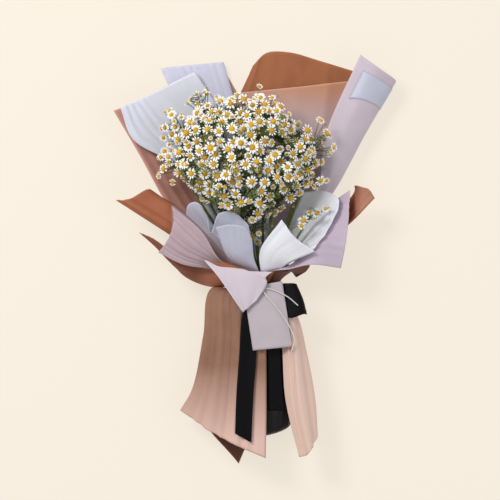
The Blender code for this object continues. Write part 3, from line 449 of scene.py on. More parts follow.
# Each sheet's angles where it passes the waist, and its rows from its foot to its rim.
SHEETS = {
    "wrap_back": ((212, 240, 270, 300, 328), [
        [(-23, -291.4, 3), (-12, -268, LOW_Z), (8, -250, LOW_Z), (30, -238, LOW_Z), (50, -224, 3)],
        [(-80, -214, 8), (-40, -200, LOW_Z), (0, -190, LOW_Z), (30, -185, LOW_Z), (56, -180, 6)],
        [(-66, -110, 10), (-34, -110, LOW_Z), (2, -110, LOW_Z), (30, -110, LOW_Z), (52, -108, 8)],
        Ring(LAYER_5, -45.0, 0.0),
        *flared(LAYER_5),
        [(-36, 22, 2), (-18, 24, LOW_Z), (5, 26, LOW_Z), (30, 24, LOW_Z), (46, 20, 3)],
        [(-48, 110, 0.8), (-20, 110, LOW_Z), (15, 110, LOW_Z), (50, 110, LOW_Z), (84, 108, 0.8)],
        [(-37, 190, 0.8), (-5, 200, LOW_Z), (40, 205, LOW_Z), (85, 200, LOW_Z), (128, 190, 0.8)],
        [(-3, 271, 1.4), (16, 289, 1.2), (48, 290, 0.6), (95, 277, 0.5), (160, 257, 1.0)],
    ]),
    "wrap_back_left": ((179, 208, 238, 266), gathered(LAYER_3) + [
        [(-62, 8, 36), (-46, 16, 18), (-24, 22, 6), (2, 26, 2.4)],
        [(-117, 66, 40), (-84, 86, 14), (-44, 100, 3.4), (-2, 105, 2.4)],
        [(-160, 140, 38), (-118, 152, 14), (-64, 172, 3.4), (-6, 190, 2.4)],
        [(-199, 206, 36), (-150, 226, 20), (-98, 246, 8), (-44, 267, 3)],
    ]),
    # Its right side is rolled forward.
    "wrap_back_right": ((274, 298, 320, 340, 354, 364), gathered(LAYER_3) + [
        [(8, 22, 4.4), (22, 22, 5), (36, 18, 10), (46, 14, 18), (50, 12, 25), (50, 14, 31)],
        [(6, 95, 4.2), (45, 98, 4.2), (88, 92, 5), (109, 90, 16), (102, 93, 30), (88, 98, 31)],
        [(2, 170, 4.2), (60, 175, 4.2), (126, 174, 5), (157, 176, 22), (131, 184, 42), (99, 172, 34)],
        [(-20, 233, 5.2), (60, 241, 4.4), (150, 250, 6), (198.8, 247, 25), (174, 266, 46), (148, 285, 40)],
    ]),
    "wrap_left": ((176, 148, 120, 92), [
        [(-105, -215, 30), (-60, -245, 58), (-22, -265, 65), (15, -281, 62)],
        [(-88, -185, 34), (-52, -192, 64), (-18, -195, 66), (16, -200, 63)],
        [(-72, -110, 36), (-44, -110, 62), (-16, -110, 65), (15, -110, 62)],
        [(-61, -44, 37), (-41, -48.5, 56), (-17, -55, 61.5), (10, -58, 60)],
        Ring(LAYER_4, -46.0, 0.0),
        *flared(LAYER_4),
        [(-68, -15, 68), (-62, -7, 76), (-54, -1, 83), (-44, -8, 86)],
        [(-102, -9, 74), (-98, 8, 82), (-88, 24, 88), (-74, 36, 94)],
        [(-135, 7, 66), (-122, 25, 72), (-114, 50, 74), (-116, 72, 70)],
    ]),
    "wrap_right": ((80, 50, 18, -16), [
        [(62, -280, 52), (74, -275, 66), (86, -250, 52), (84, -215, 14)],
        [(43, -198, 57), (58, -205, 70), (82, -195, 50), (74, -180, 14)],
        [(39, -130, 57), (52, -135, 67), (70, -130, 48), (62, -120, 16)],
        [(34, -72, 57), (44, -76, 62), (56, -76, 46), (48, -74, 20)],
        Ring(LAYER_4, -46.0, 0.0),
        *flared(LAYER_4),
        [(44, -17, 66), (62, -2, 63), (72, 12, 48), (68, 18, 28)],
        [(78, -10, 80), (90, 25, 76), (100, 54, 62), (98, 68, 42)],
        [(120, -15, 78), (127, 22, 82), (131, 60, 72), (133, 95, 58)],
    ]),
    "wrap_front": ((180, 160, 140, 122), [
        Ring(LAYER_5, OUTER_FOOT_Y, 0.0),
        Ring(LAYER_5, WAIST_Y, 0.0),
        [(-36, -40, 35), (-33, -35, 47), (-26, -28, 57), (-18, -24, 63)],
        [(-60, -42, 34), (-55, -36, 47), (-50, -28, 55), (-42, -22, 59)],
        [(-98, -28, 36), (-88, -28, 46), (-76, -24, 53), (-66, -14, 56)],
        [(-124, 0, 40), (-112, -12, 46), (-100, -20, 52), (-84, -4, 60)],
        [(-163, 35, 50), (-148, 30, 52), (-132, 20, 56), (-112, 6, 62)],
    ]),
    "front_flap": ((114, 100, 84, 66), gathered(LAYER_5, OUTER_FOOT_Y) + [
        [(-46, -14, 90), (-26, -18, 87), (-4, -23, 81), (15, -28, 74)],
        [(-70, -3, 96), (-42, -9, 92), (-6, -20, 86), (17, -34, 78)],
        [(-52, -26, 92), (-34, -32, 90), (-8, -38, 85), (13, -44, 77)],
        [(-17, -77, 76), (-15, -75, 76), (-10, -71, 76), (2, -60, 76)],
    ]),
    "wrap_right_outer": ((58, 42, 26, 10), gathered(LAYER_5, OUTER_FOOT_Y) + [
        [(46, -19, 63.5), (58, -17, 58), (64, -21, 46), (56, -26, 34)],
        [(55, -12, 66.5), (76, -9, 66), (72, -19, 50), (58, -28, 36)],
    ]),
    "side_left": ((168, 160, 152, 145), gathered(LAYER_3) + [
        [(-66, -3, 46), (-63, 6, 53), (-60, 14, 58), (-56, 20, 60)],
        [(-124, 34, 56), (-120, 50, 62), (-116, 66, 62), (-112, 74, 54)],
        [(-196, 80, 46), (-176, 82, 56), (-152, 95, 60), (-145, 93, 48)],
    ]),
    "side_right": ((5, -5, -15), gathered(LAYER_5, OUTER_FOOT_Y) + [
        [(78, 8, 38), (80, 14, 30), (78, 20, 22)],
        [(132, 47, 56), (137, 70, 52), (137, 90, 44)],
        [(168, 83, 60), (158, 96, 66), (139, 100, 62)],
    ]),
    "tissue_back_tall": ((218, 270, 322), gathered(LAYER_2) + [
        [(-28, 34, 8.5), (0, 36, 6.2), (26, 34, 8)],
        [(-72, 130, 10), (-36, 132, 6.6), (-4, 134, 6.2)],
        [(-133, 267, 18), (-88, 272, 12), (-44, 276, 8)],
    ]),
    "tissue_back_left": ((182, 209, 236, 262), gathered(LAYER_1) + [
        [(-48, 30, 32), (-34, 38, 18), (-16, 44, 11), (0, 46, 8.6)],
        [(-108, 126, 31), (-80, 138, 17), (-50, 148, 11), (-20, 152, 8.6)],
        [(-171, 166, 46), (-130, 190, 28), (-92, 205, 18), (-52, 212, 12)],
        [(-189, 211, 48), (-158, 224, 35), (-128, 240, 28), (-84, 262, 21)],
    ]),
    "tissue_front_left": ((175, 166, 157, 148, 139, 130, 121, 112), gathered(LAYER_1) + [
        [(-56, 8, 44), (-50, 16, 52), (-45, 12, 60), (-39, 18, 66),
         (-35, 9, 70), (-27, 18, 73), (-16, 16, 74), (-3, 10, 72)],
        [(-97, 56, 52), (-94, 73, 60), (-83, 78, 70), (-70, 64, 80),
         (-62, 36, 88), (-50, 62, 90), (-28, 62, 92), (-9, 46, 90)],
    ]),
    "tissue_front_middle": ((136, 122, 108, 94), gathered(LAYER_2) + [
        [(-38, 0, 78), (-28, 2, 83), (-14, 2, 83), (-1, -2, 76)],
        [(-55, 42, 104), (-38, 46, 110), (-14, 42, 110), (-4, 26, 100)],
    ]),
    "tissue_front_right": ((90, 67, 46), gathered(LAYER_2) + [
        [(7, 10, 82), (27, 3, 82), (47, -7, 76.5)],
        [(37, 53, 104), (57, 27, 98), (84, 9, 87)],
    ]),
    "tissue_side_right": ((60, 40, 18, -4, -26), gathered(LAYER_1) + [
        [(46, -9, 67), (55, 0, 61), (60, 16, 48), (53, 24, 38), (42, 32, 27)],
        [(76, 6, 84), (98, 34, 83), (117, 80, 70), (98, 93, 58), (68, 92, 42)],
    ]),
    "ribbon_loop": ((), [
        [(25, -36, 54.9), (25, -40, 54.9), (25, -44, 54.9)],
        [(38, -36, 63), (43, -59, 65.8), (46, -84, 67.6)],
        [(54, -36, 66), (63, -57, 67), (69, -79, 68)],
        [(58, -37, 62), (67, -58, 62), (73, -80, 62)],
        [(54, -36, 58), (63, -57, 58), (69, -79, 58)],
        [(42, -36, 60), (44, -58, 62), (46, -82, 65)],
    ]),
    "ribbon_tail_left": ((), [
        [(-7, -44, 59), (7, -46, 60)],
        [(-18, -78, 67.4), (4, -82, 67.4)],
        [(-22, -135, 68.0), (2, -137, 68.0)],
        [(-26, -190, 68.2), (-2, -192, 68.0)],
        [(-28, -246, 68.4), (-5, -259, 67.6)],
    ]),
    "ribbon_tail_right": ((), [
        [(11, -47, 59.2), (27, -47, 58.6)],
        [(14, -90, 59), (34, -90, 57)],
        [(17.5, -150, 58), (37, -150, 56)],
        [(18, -215, 57), (42, -215, 56)],
    ]),
    "card": ((), [
        [(-17, -39, 68.6), (13, -37, 70.6), (38, -33, 68.9)],
        [(-10, -84, 69.0), (30, -80, 72.0), (45, -78, 70.2)],
        [(-3, -130, 69.6), (46, -125, 72.0), (52, -124, 71.4)],
    ]),
}


# What the CAD sprays hold


def places_of(mesh):
    """The corners of a mesh in millimetres."""
    places = np.empty(len(mesh.vertices) * 3)
    mesh.vertices.foreach_get("co", places)
    return places.reshape(-1, 3) / MM


def corners_of(name):
    """The corners of a CAD node in millimetres, and those that share an edge with each."""
    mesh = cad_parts[name].data
    points, number = np.unique(np.round(places_of(mesh), 2), axis=0, return_inverse=True)
    number = number.reshape(-1)
    near = [set() for _ in points]
    for face in mesh.polygons:
        ends = [int(number[i]) for i in face.vertices]
        for a, b in zip(ends, ends[1:] + ends[:1]):
            near[a].add(b)
            near[b].add(a)
    return points, near


def cad_flowers(points, near):
    """The flowers of a CAD spray: each one's middle, the way it faces and its radius."""
    found = []
    for corner, others in enumerate(near):
        if len(others) != CAD_PETALS:
            continue
        rim = points[list(others)]
        middle = rim.mean(0)
        height = norm(points[corner] - middle)
        reach = norm(rim - middle, axis=1)
        if np.ptp(reach) < CAD_TOLERANCE and abs(height - CAD_DISC_HEIGHT) < CAD_TOLERANCE:
            found.append((middle, (points[corner] - middle) / height, reach.mean() / DISC_SHARE))
    return found


def cad_stem(points, near):
    """The stem of a CAD spray: its foot, its place at the waist and its fork."""
    foot = points[points[:, 1] < STEM_FOOT_Y + STEM_SLACK].mean(0)
    waist = np.array((foot[0] - FOOT_SHIFT, WAIST_Y, foot[2]))
    runs = []
    for corner in np.flatnonzero(norm(points - waist, axis=1) < STEM_SLACK):
        ahead = [points[i] - points[corner] for i in near[corner] if points[i][1] > WAIST_Y + STEM_RUN]
        if ahead:
            runs.append(max(ahead, key=norm))
    return foot, waist, waist + np.mean(runs, axis=0)


def off_line(points, start, end):
    """How far points lie from the line between two others."""
    line = end - start
    share = np.clip((points - start) @ line / (line @ line), 0, 1)
    return norm(points - start - share[:, None] * line, axis=1)


def cad_leaf(points, flowers, stem):
    """The tip of the leaf of a CAD spray, if it has one."""
    _, waist, fork = stem
    root = waist + (fork - waist) * LEAF_SHARE
    clear = off_line(points, waist, fork) > LEAF_CLEAR
    for middle, _, radius in flowers:
        clear &= norm(points - middle, axis=1) > radius * FLOWER_ROOM
        clear &= off_line(points, fork, middle) > LEAF_CLEAR / 2
    reach = norm(points - root, axis=1)
    tips = points[clear & (abs(reach - LEAF_LENGTH) < LEAF_SLACK)]
    return (root, tips.mean(0)) if len(tips) else None


# Petals, discs, stalks and leaves


class Heap:
    """Points, faces, finishes and tones gathered for one mesh."""

    def __init__(self):
        self.points, self.faces, self.finishes, self.tones, self.count = [], [], [], [], 0

    def add(self, points, faces, finish, tones):
        self.points.append(points)
        self.faces.append(np.asarray(faces) + self.count)
        self.finishes.append(np.full(len(faces), finish))
        self.tones.append(np.broadcast_to(tones, len(points)))
        self.count += len(points)

    def mesh(self, name):
        made = bpy.data.meshes.new(name)
        faces = [face for block in self.faces for face in block.tolist()]
        made.from_pydata(np.concatenate(self.points) * MM, [], faces)
        made.polygons.foreach_set("material_index", np.concatenate(self.finishes).astype(np.int32))
        write_floats(made, "tone", np.concatenate(self.tones))
        made.shade_smooth()
        return made


def turned_to(way, twist):
    """Three directions at right angles, the last one along the way."""
    way = way / norm(way)
    side = np.cross(way, (0.0, 1.0, 0.0) if abs(way[1]) < NEARLY_Y else (1.0, 0.0, 0.0))
    side /= norm(side)
    other = np.cross(way, side)
    first = side * math.cos(twist) + other * math.sin(twist)
    return np.array([first, np.cross(way, first), way])


def lathe(profile, sides, jitter=None):
    """Rings of points round +Z through a profile of radii and heights."""
    turns = np.arange(sides) * math.tau / sides
    made = []
    for i, (radius, height) in enumerate(profile):
        reach = radius * (1 + (jitter[i] if jitter is not None else 0) * np.cos(turns * sides / 2))
        corners = [reach * np.cos(turns), reach * np.sin(turns), np.full(sides, height)]
        made.append(np.stack(corners, axis=1))
    return np.concatenate(made)


def petal(length, width, lift, droop, cup):
    """One petal along +X from the disc: a narrow root, a broad middle and a notched tip."""
    share, half, middle = PETAL_ROWS.T
    rise = math.sin(lift)
    x = share * length * math.cos(lift)
    rows = []
    for k, side in enumerate(PETAL_SIDES):
        reach = x + (middle * PETAL_NOTCH * length if 0 < k < len(PETAL_SIDES) - 1 else 0)
        ridge = PETAL_RIDGE[k] * half * width
        z = share * length * rise - droop * length * share**2 + cup * half * width * side**2 + ridge
        rows.append(np.stack([reach, side * half * width, z], axis=1))
    return np.swapaxes(np.array(rows), 0, 1).reshape(-1, 3)


def add_flower(heap, place, way, radius, openness, chance):
    """A flower: its disc, its green cup and its ring of petals, from a bud at 0 to flat at 1."""
    turn = turned_to(way, chance.uniform(0, math.tau))
    disc = radius * chance.uniform(*DISC_SIZES)
    height = disc * chance.uniform(*DISC_HEIGHTS)
    profile = [(disc * share, height * rise) for share, rise in DISC_PROFILE]
    jitter = [0, *(DISC_BUMPS for _ in profile[1:-1]), 0]
    points = lathe(profile, DISC_SIDES, jitter)
    tones = np.repeat([share for share, _ in DISC_PROFILE], DISC_SIDES)
    finish = DISC if openness > BUD_OPENNESS else BUD
    heap.add(points @ turn + place, grid_faces(len(profile), DISC_SIDES, True), finish, tones)
    cup = [(disc * share, height * rise) for share, rise in CUP_PROFILE]
    points = lathe(cup, CUP_SIDES)
    heap.add(points @ turn + place, grid_faces(len(cup), CUP_SIDES, True), GREEN, CUP_TONE)
    count = chance.randint(*PETAL_COUNTS)
    lift = LIFT_SHUT * (1 - openness) ** SHUT_EASE + chance.uniform(*LIFT_OPEN) * openness
    length = (radius - disc * PETAL_ROOT) * (PETAL_SHORT + (1 - PETAL_SHORT) * openness)
    width = PETAL_WIDTH * radius * (PETAL_SHORT + (1 - PETAL_SHORT) * openness)
    faces = grid_faces(len(PETAL_ROWS), len(PETAL_SIDES))
    for i in range(count):
        if chance.random() < PETAL_MISSING:
            continue
        angle = math.tau * (i + chance.uniform(-PETAL_STRAY, PETAL_STRAY)) / count
        made = petal(
            length * chance.uniform(*PETAL_LENGTHS), width * chance.uniform(*PETAL_WIDTHS),
            lift + chance.uniform(-LIFT_STRAY, LIFT_STRAY), chance.uniform(*DROOPS), chance.uniform(*CUPS),
        )
        made[:, 0] += disc * PETAL_ROOT
        made[:, 2] += PETAL_LAYER * (i % 2)
        cos, sin = math.cos(angle), math.sin(angle)
        made = made @ np.array([[cos, sin, 0], [-sin, cos, 0], [0, 0, 1]]) @ turn + place
        heap.add(made, faces, PETAL, np.repeat(PETAL_ROWS[:, 0], len(PETAL_SIDES)))


def add_tube(heap, path, radii, sides, finish, tones):
    """A round stalk along a path of points."""
    path = np.asarray(path, float)
    along = np.gradient(path, axis=0)
    along /= norm(along, axis=1, keepdims=True)
    turns = np.arange(sides) * math.tau / sides
    rings = []
    side = turned_to(along[0], 0.0)[0]
    for point, way, radius in zip(path, along, radii):
        side = side - way * (side @ way)
        side /= norm(side)
        other = np.cross(way, side)
        rings.append(point + radius * (np.cos(turns)[:, None] * side + np.sin(turns)[:, None] * other))
    faces = grid_faces(len(path), sides, True)
    heap.add(np.concatenate(rings), faces, finish, np.repeat(np.broadcast_to(tones, len(path)), sides))
    for end in (rings[0][::-1], rings[-1]):
        heap.add(end, [list(range(sides))], finish, END_TONE)


def arc(start, middle, end, count):
    """Points on a smooth bend from the start to the end, drawn towards the middle."""
    t = np.linspace(0, 1, count)[:, None]
    return (1 - t) ** 2 * start + 2 * t * (1 - t) * middle + t**2 * end


def add_stalk(heap, start, place, way, radius):
    """The stalk of a flower, which bends to meet it from behind."""
    end = place + way * radius * CUP_PROFILE[-1][1] * STALK_DEPTH
    middle = end - way * norm(end - start) * STALK_BEND
    path = arc(start, middle, end, STALK_STEPS)
    thick = np.linspace(STALK_ROOT, STALK_TIP, STALK_STEPS)
    thick *= STALK_LEAST + (1 - STALK_LEAST) * radius / FULL_RADIUS
    add_tube(heap, path, thick, STALK_SIDES, GREEN, np.linspace(*STALK_TONES, STALK_STEPS))


def blade(start, end, square, width):
    """A thin leaf thread from its start to its end: four corners, narrow at the end."""
    side = np.cross(end - start, square)
    side *= width / 2 / max(norm(side), TINY)
    return np.array([start - side, start + side, end + side * THREAD_TIP, end - side * THREAD_TIP])


def add_leaf(heap, root, tip, square, chance, tone):
    """A feathery leaf: a rib with pairs of forked threads, square to the given direction."""
    length = norm(tip - root)
    along = (tip - root) / length
    side = np.cross(square, along)
    side /= norm(side)
    square = np.cross(along, side)
    blades = []
    middle = (root + tip) / 2 + square * length * chance.uniform(-RIB_BEND, RIB_BEND)
    rib = arc(root, middle, tip, RIB_STEPS)
    for a, b in zip(rib[:-1], rib[1:]):
        blades.append(blade(a, b, square, RIB_WIDTH))
    pairs = max(LEAST_PAIRS, int(length / THREAD_GAP))
    for i in range(pairs):
        share = (i + PAIR_START) / (pairs + PAIR_SPARE)
        start = rib[int(share * (RIB_STEPS - 1))] + along * chance.uniform(-1, 1)
        swell = math.sin(math.pi * (LEAF_OUTLINE[0] + LEAF_OUTLINE[1] * share))
        reach = THREAD_REACH * length * swell * chance.uniform(*THREAD_LENGTHS)
        for hand in (-1, 1):
            lift = square * chance.uniform(-THREAD_LIFT, THREAD_LIFT)
            out = side * hand + along * chance.uniform(*THREAD_LEANS) + lift
            end = start + out * reach / norm(out)
            blades.append(blade(start, end, square, THREAD_WIDTH))
            for share_out, spread in FORKLETS:
                at = start + (end - start) * share_out
                turn = out + side * spread * hand + along * (FORKLET_LEAN - spread) + lift
                end_2 = at + turn * reach * FORKLET_REACH / norm(turn)
                blades.append(blade(at, end_2, square, THREAD_WIDTH))
    points = np.concatenate(blades)
    faces = np.arange(len(points)).reshape(-1, 4)
    heap.add(points, faces, GREEN, tone)


# Placing flowers and leaves


def under_top(place, reach):
    """Whether something that reaches this far round a place stays below the top of the CAD."""
    return place[2] + reach < cad_box[1][2] / MM


def paper_points(pieces):
    """Points all over the papers, in a tree, in millimetres."""
    graph = bpy.context.evaluated_depsgraph_get()
    points = np.concatenate([places_of(piece.evaluated_get(graph).to_mesh()) for piece in pieces])
    tree = KDTree(len(points))
    for i, point in enumerate(points):
        tree.insert(point, i)
    tree.balance()
    return tree


def has_room(place, way, radius, flowers):
    """Whether a small flower shows between the others and touches none of them."""
    for middle, way_2, radius_2 in flowers:
        between = place - middle
        facing = way + way_2
        facing = facing / norm(facing)
        height = between @ facing
        beside = norm(between - height * facing)
        reach = radius + radius_2
        if beside < SHOWS_BETWEEN * reach:
            return False
        if beside < FITS_BESIDE * reach and abs(height) < FITS_ABOVE:
            return False
    return True


def small_flowers(sprays, walls):
    """Small flowers and buds between those of the CAD, each one with its spray."""
    chance = random.Random("small flowers")
    flowers = [flower for spray in sprays for flower in spray.flowers]
    owners = [k for k, spray in enumerate(sprays) for _ in spray.flowers]
    made = [[] for _ in sprays]
    for sizes, openness, wanted in SMALL_KINDS:
        placed = 0
        for _ in range(SMALL_TRIES):
            if placed == wanted:
                break
            pick = chance.randrange(len(owners))
            middle, way, _ = flowers[pick]
            angle = chance.uniform(0, math.tau)
            radius = chance.uniform(*sizes)
            aside = turned_to(way, angle)[0] * chance.uniform(*SMALL_ASIDE)
            place = middle + aside - way * chance.uniform(*SMALL_BELOW)
            lean = np.array([chance.uniform(-1, 1) for _ in range(3)]) * SMALL_LEAN
            face = way + lean
            face /= norm(face)
            if not under_top(place, SMALL_RISE * radius) or not has_room(place, face, radius, flowers):
                continue
            if walls.find(place)[2] < radius + SMALL_OFF_PAPER:
                continue
            flowers.append((place, face, radius))
            made[owners[pick]].append((place, face, radius, chance.uniform(*openness)))
            placed += 1
    return made


def leaves_of(spray, stalks, walls, chance):
    """Feathery leaves on the stalks of a spray, below its flowers."""
    found = []
    for _ in range(LEAVES_TRIED):
        start, end = stalks[chance.randrange(len(stalks))]
        root = start + (end - start) * chance.uniform(*LEAF_ROOTS)
        along = (end - start) / norm(end - start)
        aside = turned_to(along, chance.uniform(0, math.tau))[0]
        way = aside + along * chance.uniform(*LEAF_LEANS)
        tip = root + way / norm(way) * chance.uniform(*LEAF_SIZES)
        if np.hypot(*((tip[:2] - LEAF_MIDDLE) / LEAF_HALF)) > 1 or not under_top(tip, LEAF_RISE):
            continue
        if min(walls.find(place)[2] for place in (tip, (root + tip) / 2)) < LEAF_OFF_PAPER:
            continue
        if any(norm(tip - middle) < radius * LEAF_UNDER for middle, _, radius in spray.flowers):
            continue
        found.append((root, tip))
        if len(found) == LEAVES_EACH:
            break
    return found


def fine_spray(name, spray, extras, walls):
    """A spray with all its flowers, stalks and leaves, in the place of its CAD solid."""
    chance = random.Random(name)
    heap = Heap()
    foot, waist, fork = spray.stem
    below, above = np.linspace(foot, waist, STEM_STEPS), np.linspace(waist, fork, STEM_STEPS)
    path = np.concatenate([below[:-1], above])
    add_tube(heap, path, np.linspace(STEM_RADIUS, FORK_RADIUS, len(path)), STEM_SIDES, GREEN, STEM_TONE)
    stalks = []
    opened = [(*flower, chance.uniform(*OPENNESS)) for flower in spray.flowers]
    for place, way, radius, openness in opened + extras:
        start = fork + (waist - fork) * chance.uniform(0.0, FORK_SPREAD)
        add_stalk(heap, start, place, way, radius)
        add_flower(heap, place, way, radius, openness, chance)
        stalks.append((start, place))
    up = np.array((0.0, 0.0, 1.0))
    if spray.leaf:
        root, tip = spray.leaf
        square = np.cross(np.cross(fork - waist, tip - root), tip - root)
        add_leaf(heap, root, tip, square, chance, BIG_LEAF_TONE)
    for root, tip in leaves_of(spray, stalks, walls, chance):
        square = up + np.array([chance.uniform(-LEAF_TILT, LEAF_TILT) for _ in range(3)])
        # Painted shade: a leaf lower in the bunch gets a darker tone.
        depth = np.clip((tip[2] - LEAF_SHADE_Z) / LEAF_SHADE_RUN, 0, 1)
        tone = LEAF_TONES[0] + LEAF_TONES[1] * depth * chance.uniform(*LEAF_TONE_SHARES)
        add_leaf(heap, root, tip, square, chance, tone)
    add_piece(name, heap.mesh(name), PLANTS)


# Ribbon, string, twine, pouch and label


def wrinkled(name, rows, height, count):
    """A tube through rings of points, with fine wrinkles along it."""
    chance = random.Random(name)
    grid = np.array(rows)
    size = grid.shape[1]
    turns = np.arange(size) * math.tau / size
    wave = np.zeros(size)
    for _ in range(WRINKLE_WAVES):
        turned = turns * chance.randint(count // 2, count)
        wave += np.sin(turned + chance.uniform(0, math.tau)) / WRINKLE_WAVES
    middle = grid.mean(1, keepdims=True)
    out = (grid - middle) / norm(grid - middle, axis=2, keepdims=True)
    grown = np.linspace(WRINKLE_LEAST, 1, len(grid))[:, None, None]
    return grid + out * (wave[None, :, None] * height * grown)


def ribbon_band():
    """The band of satin wound round the waist, pulled into narrow gathers."""
    turns = np.linspace(0, 360, BAND_SIDES, endpoint=False)
    ys = np.linspace(*BAND_Y, BAND_ROWS)
    swell = BAND_SWELL * np.sin(np.linspace(0, math.pi * BAND_TURNS, BAND_ROWS)) ** 2
    rows = [ring(turns, BAND, y, out) for y, out in zip(ys, swell)]
    grid = wrinkled("ribbon_band", rows, *BAND_WRINKLES)
    faces = grid_faces(*grid.shape[:2], True).tolist()
    thin_piece("ribbon_band", grid, faces, ["satin"], SATIN_THICKNESS)


def water_pouch():
    """The bag of thin film round the stem ends, drawn in at its neck and crumpled."""
    turns = np.linspace(0, 360, POUCH_SIDES, endpoint=False)
    shapes = [np.array(ring(turns, NECK, y)) for y in NECK_Y]
    around = np.radians(turns)
    for y, x, half_x, z, half_z in POUCH_SECTIONS:
        ys = y + POUCH_SLANT * half_x * np.cos(around)
        shapes.append(np.stack([x + half_x * np.cos(around), ys, z + half_z * np.sin(around)], axis=1))
    rows = np.array([spline(line, POUCH_STEPS) for line in np.swapaxes(np.array(shapes), 0, 1)])
    grid = wrinkled("water_pouch", np.swapaxes(rows, 0, 1), *POUCH_WRINKLES)
    middle = grid[-1].mean(0)
    ends = [middle + (grid[-1] - middle) * share - np.array((0, bulge, 0)) for share, bulge in POUCH_END]
    grid = np.concatenate([grid, ends])
    faces = grid_faces(*grid.shape[:2], True).tolist()
    last = (len(grid) - 1) * POUCH_SIDES
    faces.append([last + i for i in range(POUCH_SIDES)])
    thin_piece("water_pouch", grid, faces, ["pouch"], POUCH_THICKNESS)


def twine_tie():
    """Several turns of twine round the stems, in two layers wound opposite ways."""
    heap = Heap()
    share = np.linspace(0, 1, TWINE_STEPS)
    ys = np.interp(share, (0, 1), (TWINE_Y[0] + TWINE_RADIUS, TWINE_Y[1] - TWINE_RADIUS))
    for layer, hand in TWINE_LAYERS:
        turns = 360 * TWINE_TURNS * share * hand
        path = [ring([turn], layer, y)[0] for turn, y in zip(turns, ys)]
        add_tube(heap, path, np.full(TWINE_STEPS, TWINE_RADIUS), TWINE_SIDES, 0, 0.5)
    add_piece("twine_tie", heap.mesh("twine_tie"), ["twine"])


def card_string():
    """The string through the card: one soft white cord with two free ends."""
    route = spline(STRING_ROUTE, STRING_STEPS)
    curve = bpy.data.curves.new("card_string_fine", "CURVE")
    curve.dimensions = "3D"
    curve.bevel_depth = STRING_RADIUS * MM
    curve.bevel_resolution = STRING_ROUNDNESS
    curve.use_fill_caps = True
    line = curve.splines.new("POLY")
    line.points.add(len(route) - 1)
    for corner, point in zip(line.points, route):
        corner.co = (*(point * MM), 1)
    made = add_piece("card_string", curve, ["string"])
    length = norm(np.diff(route, axis=0), axis=1).sum() * MM


def label():
    """The bare label round the roll, laid on the fine sheet near its top."""
    grid = fine_grid("wrap_back_right")
    rows, columns = grid.shape[:2]
    low, high = (int(share * rows) for share in LABEL_ALONG)
    left, right = (int(share * columns) for share in LABEL_ACROSS)
    patch = (grid - way_out(grid) * LABEL_LIFT)[low:high, left:right]
    faces = grid_faces(*patch.shape[:2]).tolist()
    thin_piece("label", patch, faces, ["label"], LABEL_THICKNESS)


# Materials

# A noise is its scale, its detail and its stretch along each axis. A bump is its strength and its
# depth in millimetres.
NOISE_ROUGHNESS, CLOUD_RANGE = 0.55, (0.3, 0.7)
PAPER_ROUGHNESS, PAPER_MOTTLE, PAPER_CLOUD, CLOUD_SHARE = 0.72, (26.0, 4.0), (7.0, 2.0), 0.5
PAPER_SOFT, PAPER_FIBRE = (60.0, 2.0, (1.0, 0.3, 1.0)), (1500.0, 3.0, (1.0, 0.35, 1.0))
PAPER_BUMPS, WORN_SHARE, WORN_PALER = ((0.35, 0.8), (0.25, 0.12)), 0.3, 34
TISSUE_ROUGHNESS, TISSUE_CLOUD = 0.6, (12.0, 3.0)
TISSUE_GLOW = {"Subsurface Weight": 0.5, "Subsurface Radius": (0.004, 0.004, 0.004)}
TISSUE_CELLS, CREASE_WIDTH, TISSUE_SOFT, TISSUE_GRAIN = 38.0, 0.12, (45.0, 3.0), (1800.0, 2.0)
TISSUE_BUMPS = ((0.35, 0.9), (0.12, 0.3), (0.2, 0.08))
SATIN_ROUGHNESS, SATIN_COLOURS = 0.42, ((3, 3, 6), (9, 9, 13))
SATIN_TINT, SATIN_SHINE = (150, 160, 200), {"Specular IOR Level": 0.12, "Sheen Weight": 0.02}
# The threads and the ribs of satin: scale, distortion and direction.
SATIN_WAVES = ((9.0, 0.4, "Y"), (5.0, 0.6, "DIAGONAL"))
SATIN_BUMPS = ((0.25, 0.1), (0.15, 0.1), (0.5, 0.4))
# Card and label: colour, roughness and strength of the tooth.
BOARDS = (("card", (190, 180, 188), 0.6, 0.3), ("label", (194, 197, 216), 0.45, 0.12))
BOARD_MOTTLE, BOARD_TOOTH, TOOTH_DEPTH, BOARD_DARKER = (40.0, 3.0), (1300.0, 3.0), 0.1, 7
# String and twine: two colours, then the scale and the distortion of the strands.
THREADS = (
    ("string", (240, 237, 230), (196, 190, 180), 260.0, 3.0),
    ("twine", (188, 150, 98), (120, 88, 50), 240.0, 4.0),
)
THREAD_ROUGHNESS, THREAD_DETAIL, THREAD_FUZZ = 0.85, 2.0, (2500.0, 3.0)
THREAD_BUMPS = ((0.6, 0.3), (0.3, 0.1))
POUCH_COLOURS = ((9, 7, 8), (20, 17, 19))
POUCH_ROUGHNESS, POUCH_SHINE = 0.38, {"Specular IOR Level": 0.2, "Coat Weight": 0.15}
POUCH_CRUMPLE, POUCH_BUMPS = (55.0, 4.0, (1.0, 0.5, 1.0)), ((0.5, 1.6),)
PETAL_COLOURS, PETAL_ROUGHNESS = ((226, 228, 190), (255, 255, 252)), 0.55
PETAL_ROOT_RUN = (0.0, 0.3)
PETAL_GLOW = {"Subsurface Weight": 0.15, "Subsurface Radius": (0.0015, 0.0015, 0.001)}
PETAL_GRAIN, PETAL_BUMPS = (900.0, 2.0), ((0.2, 0.15),)
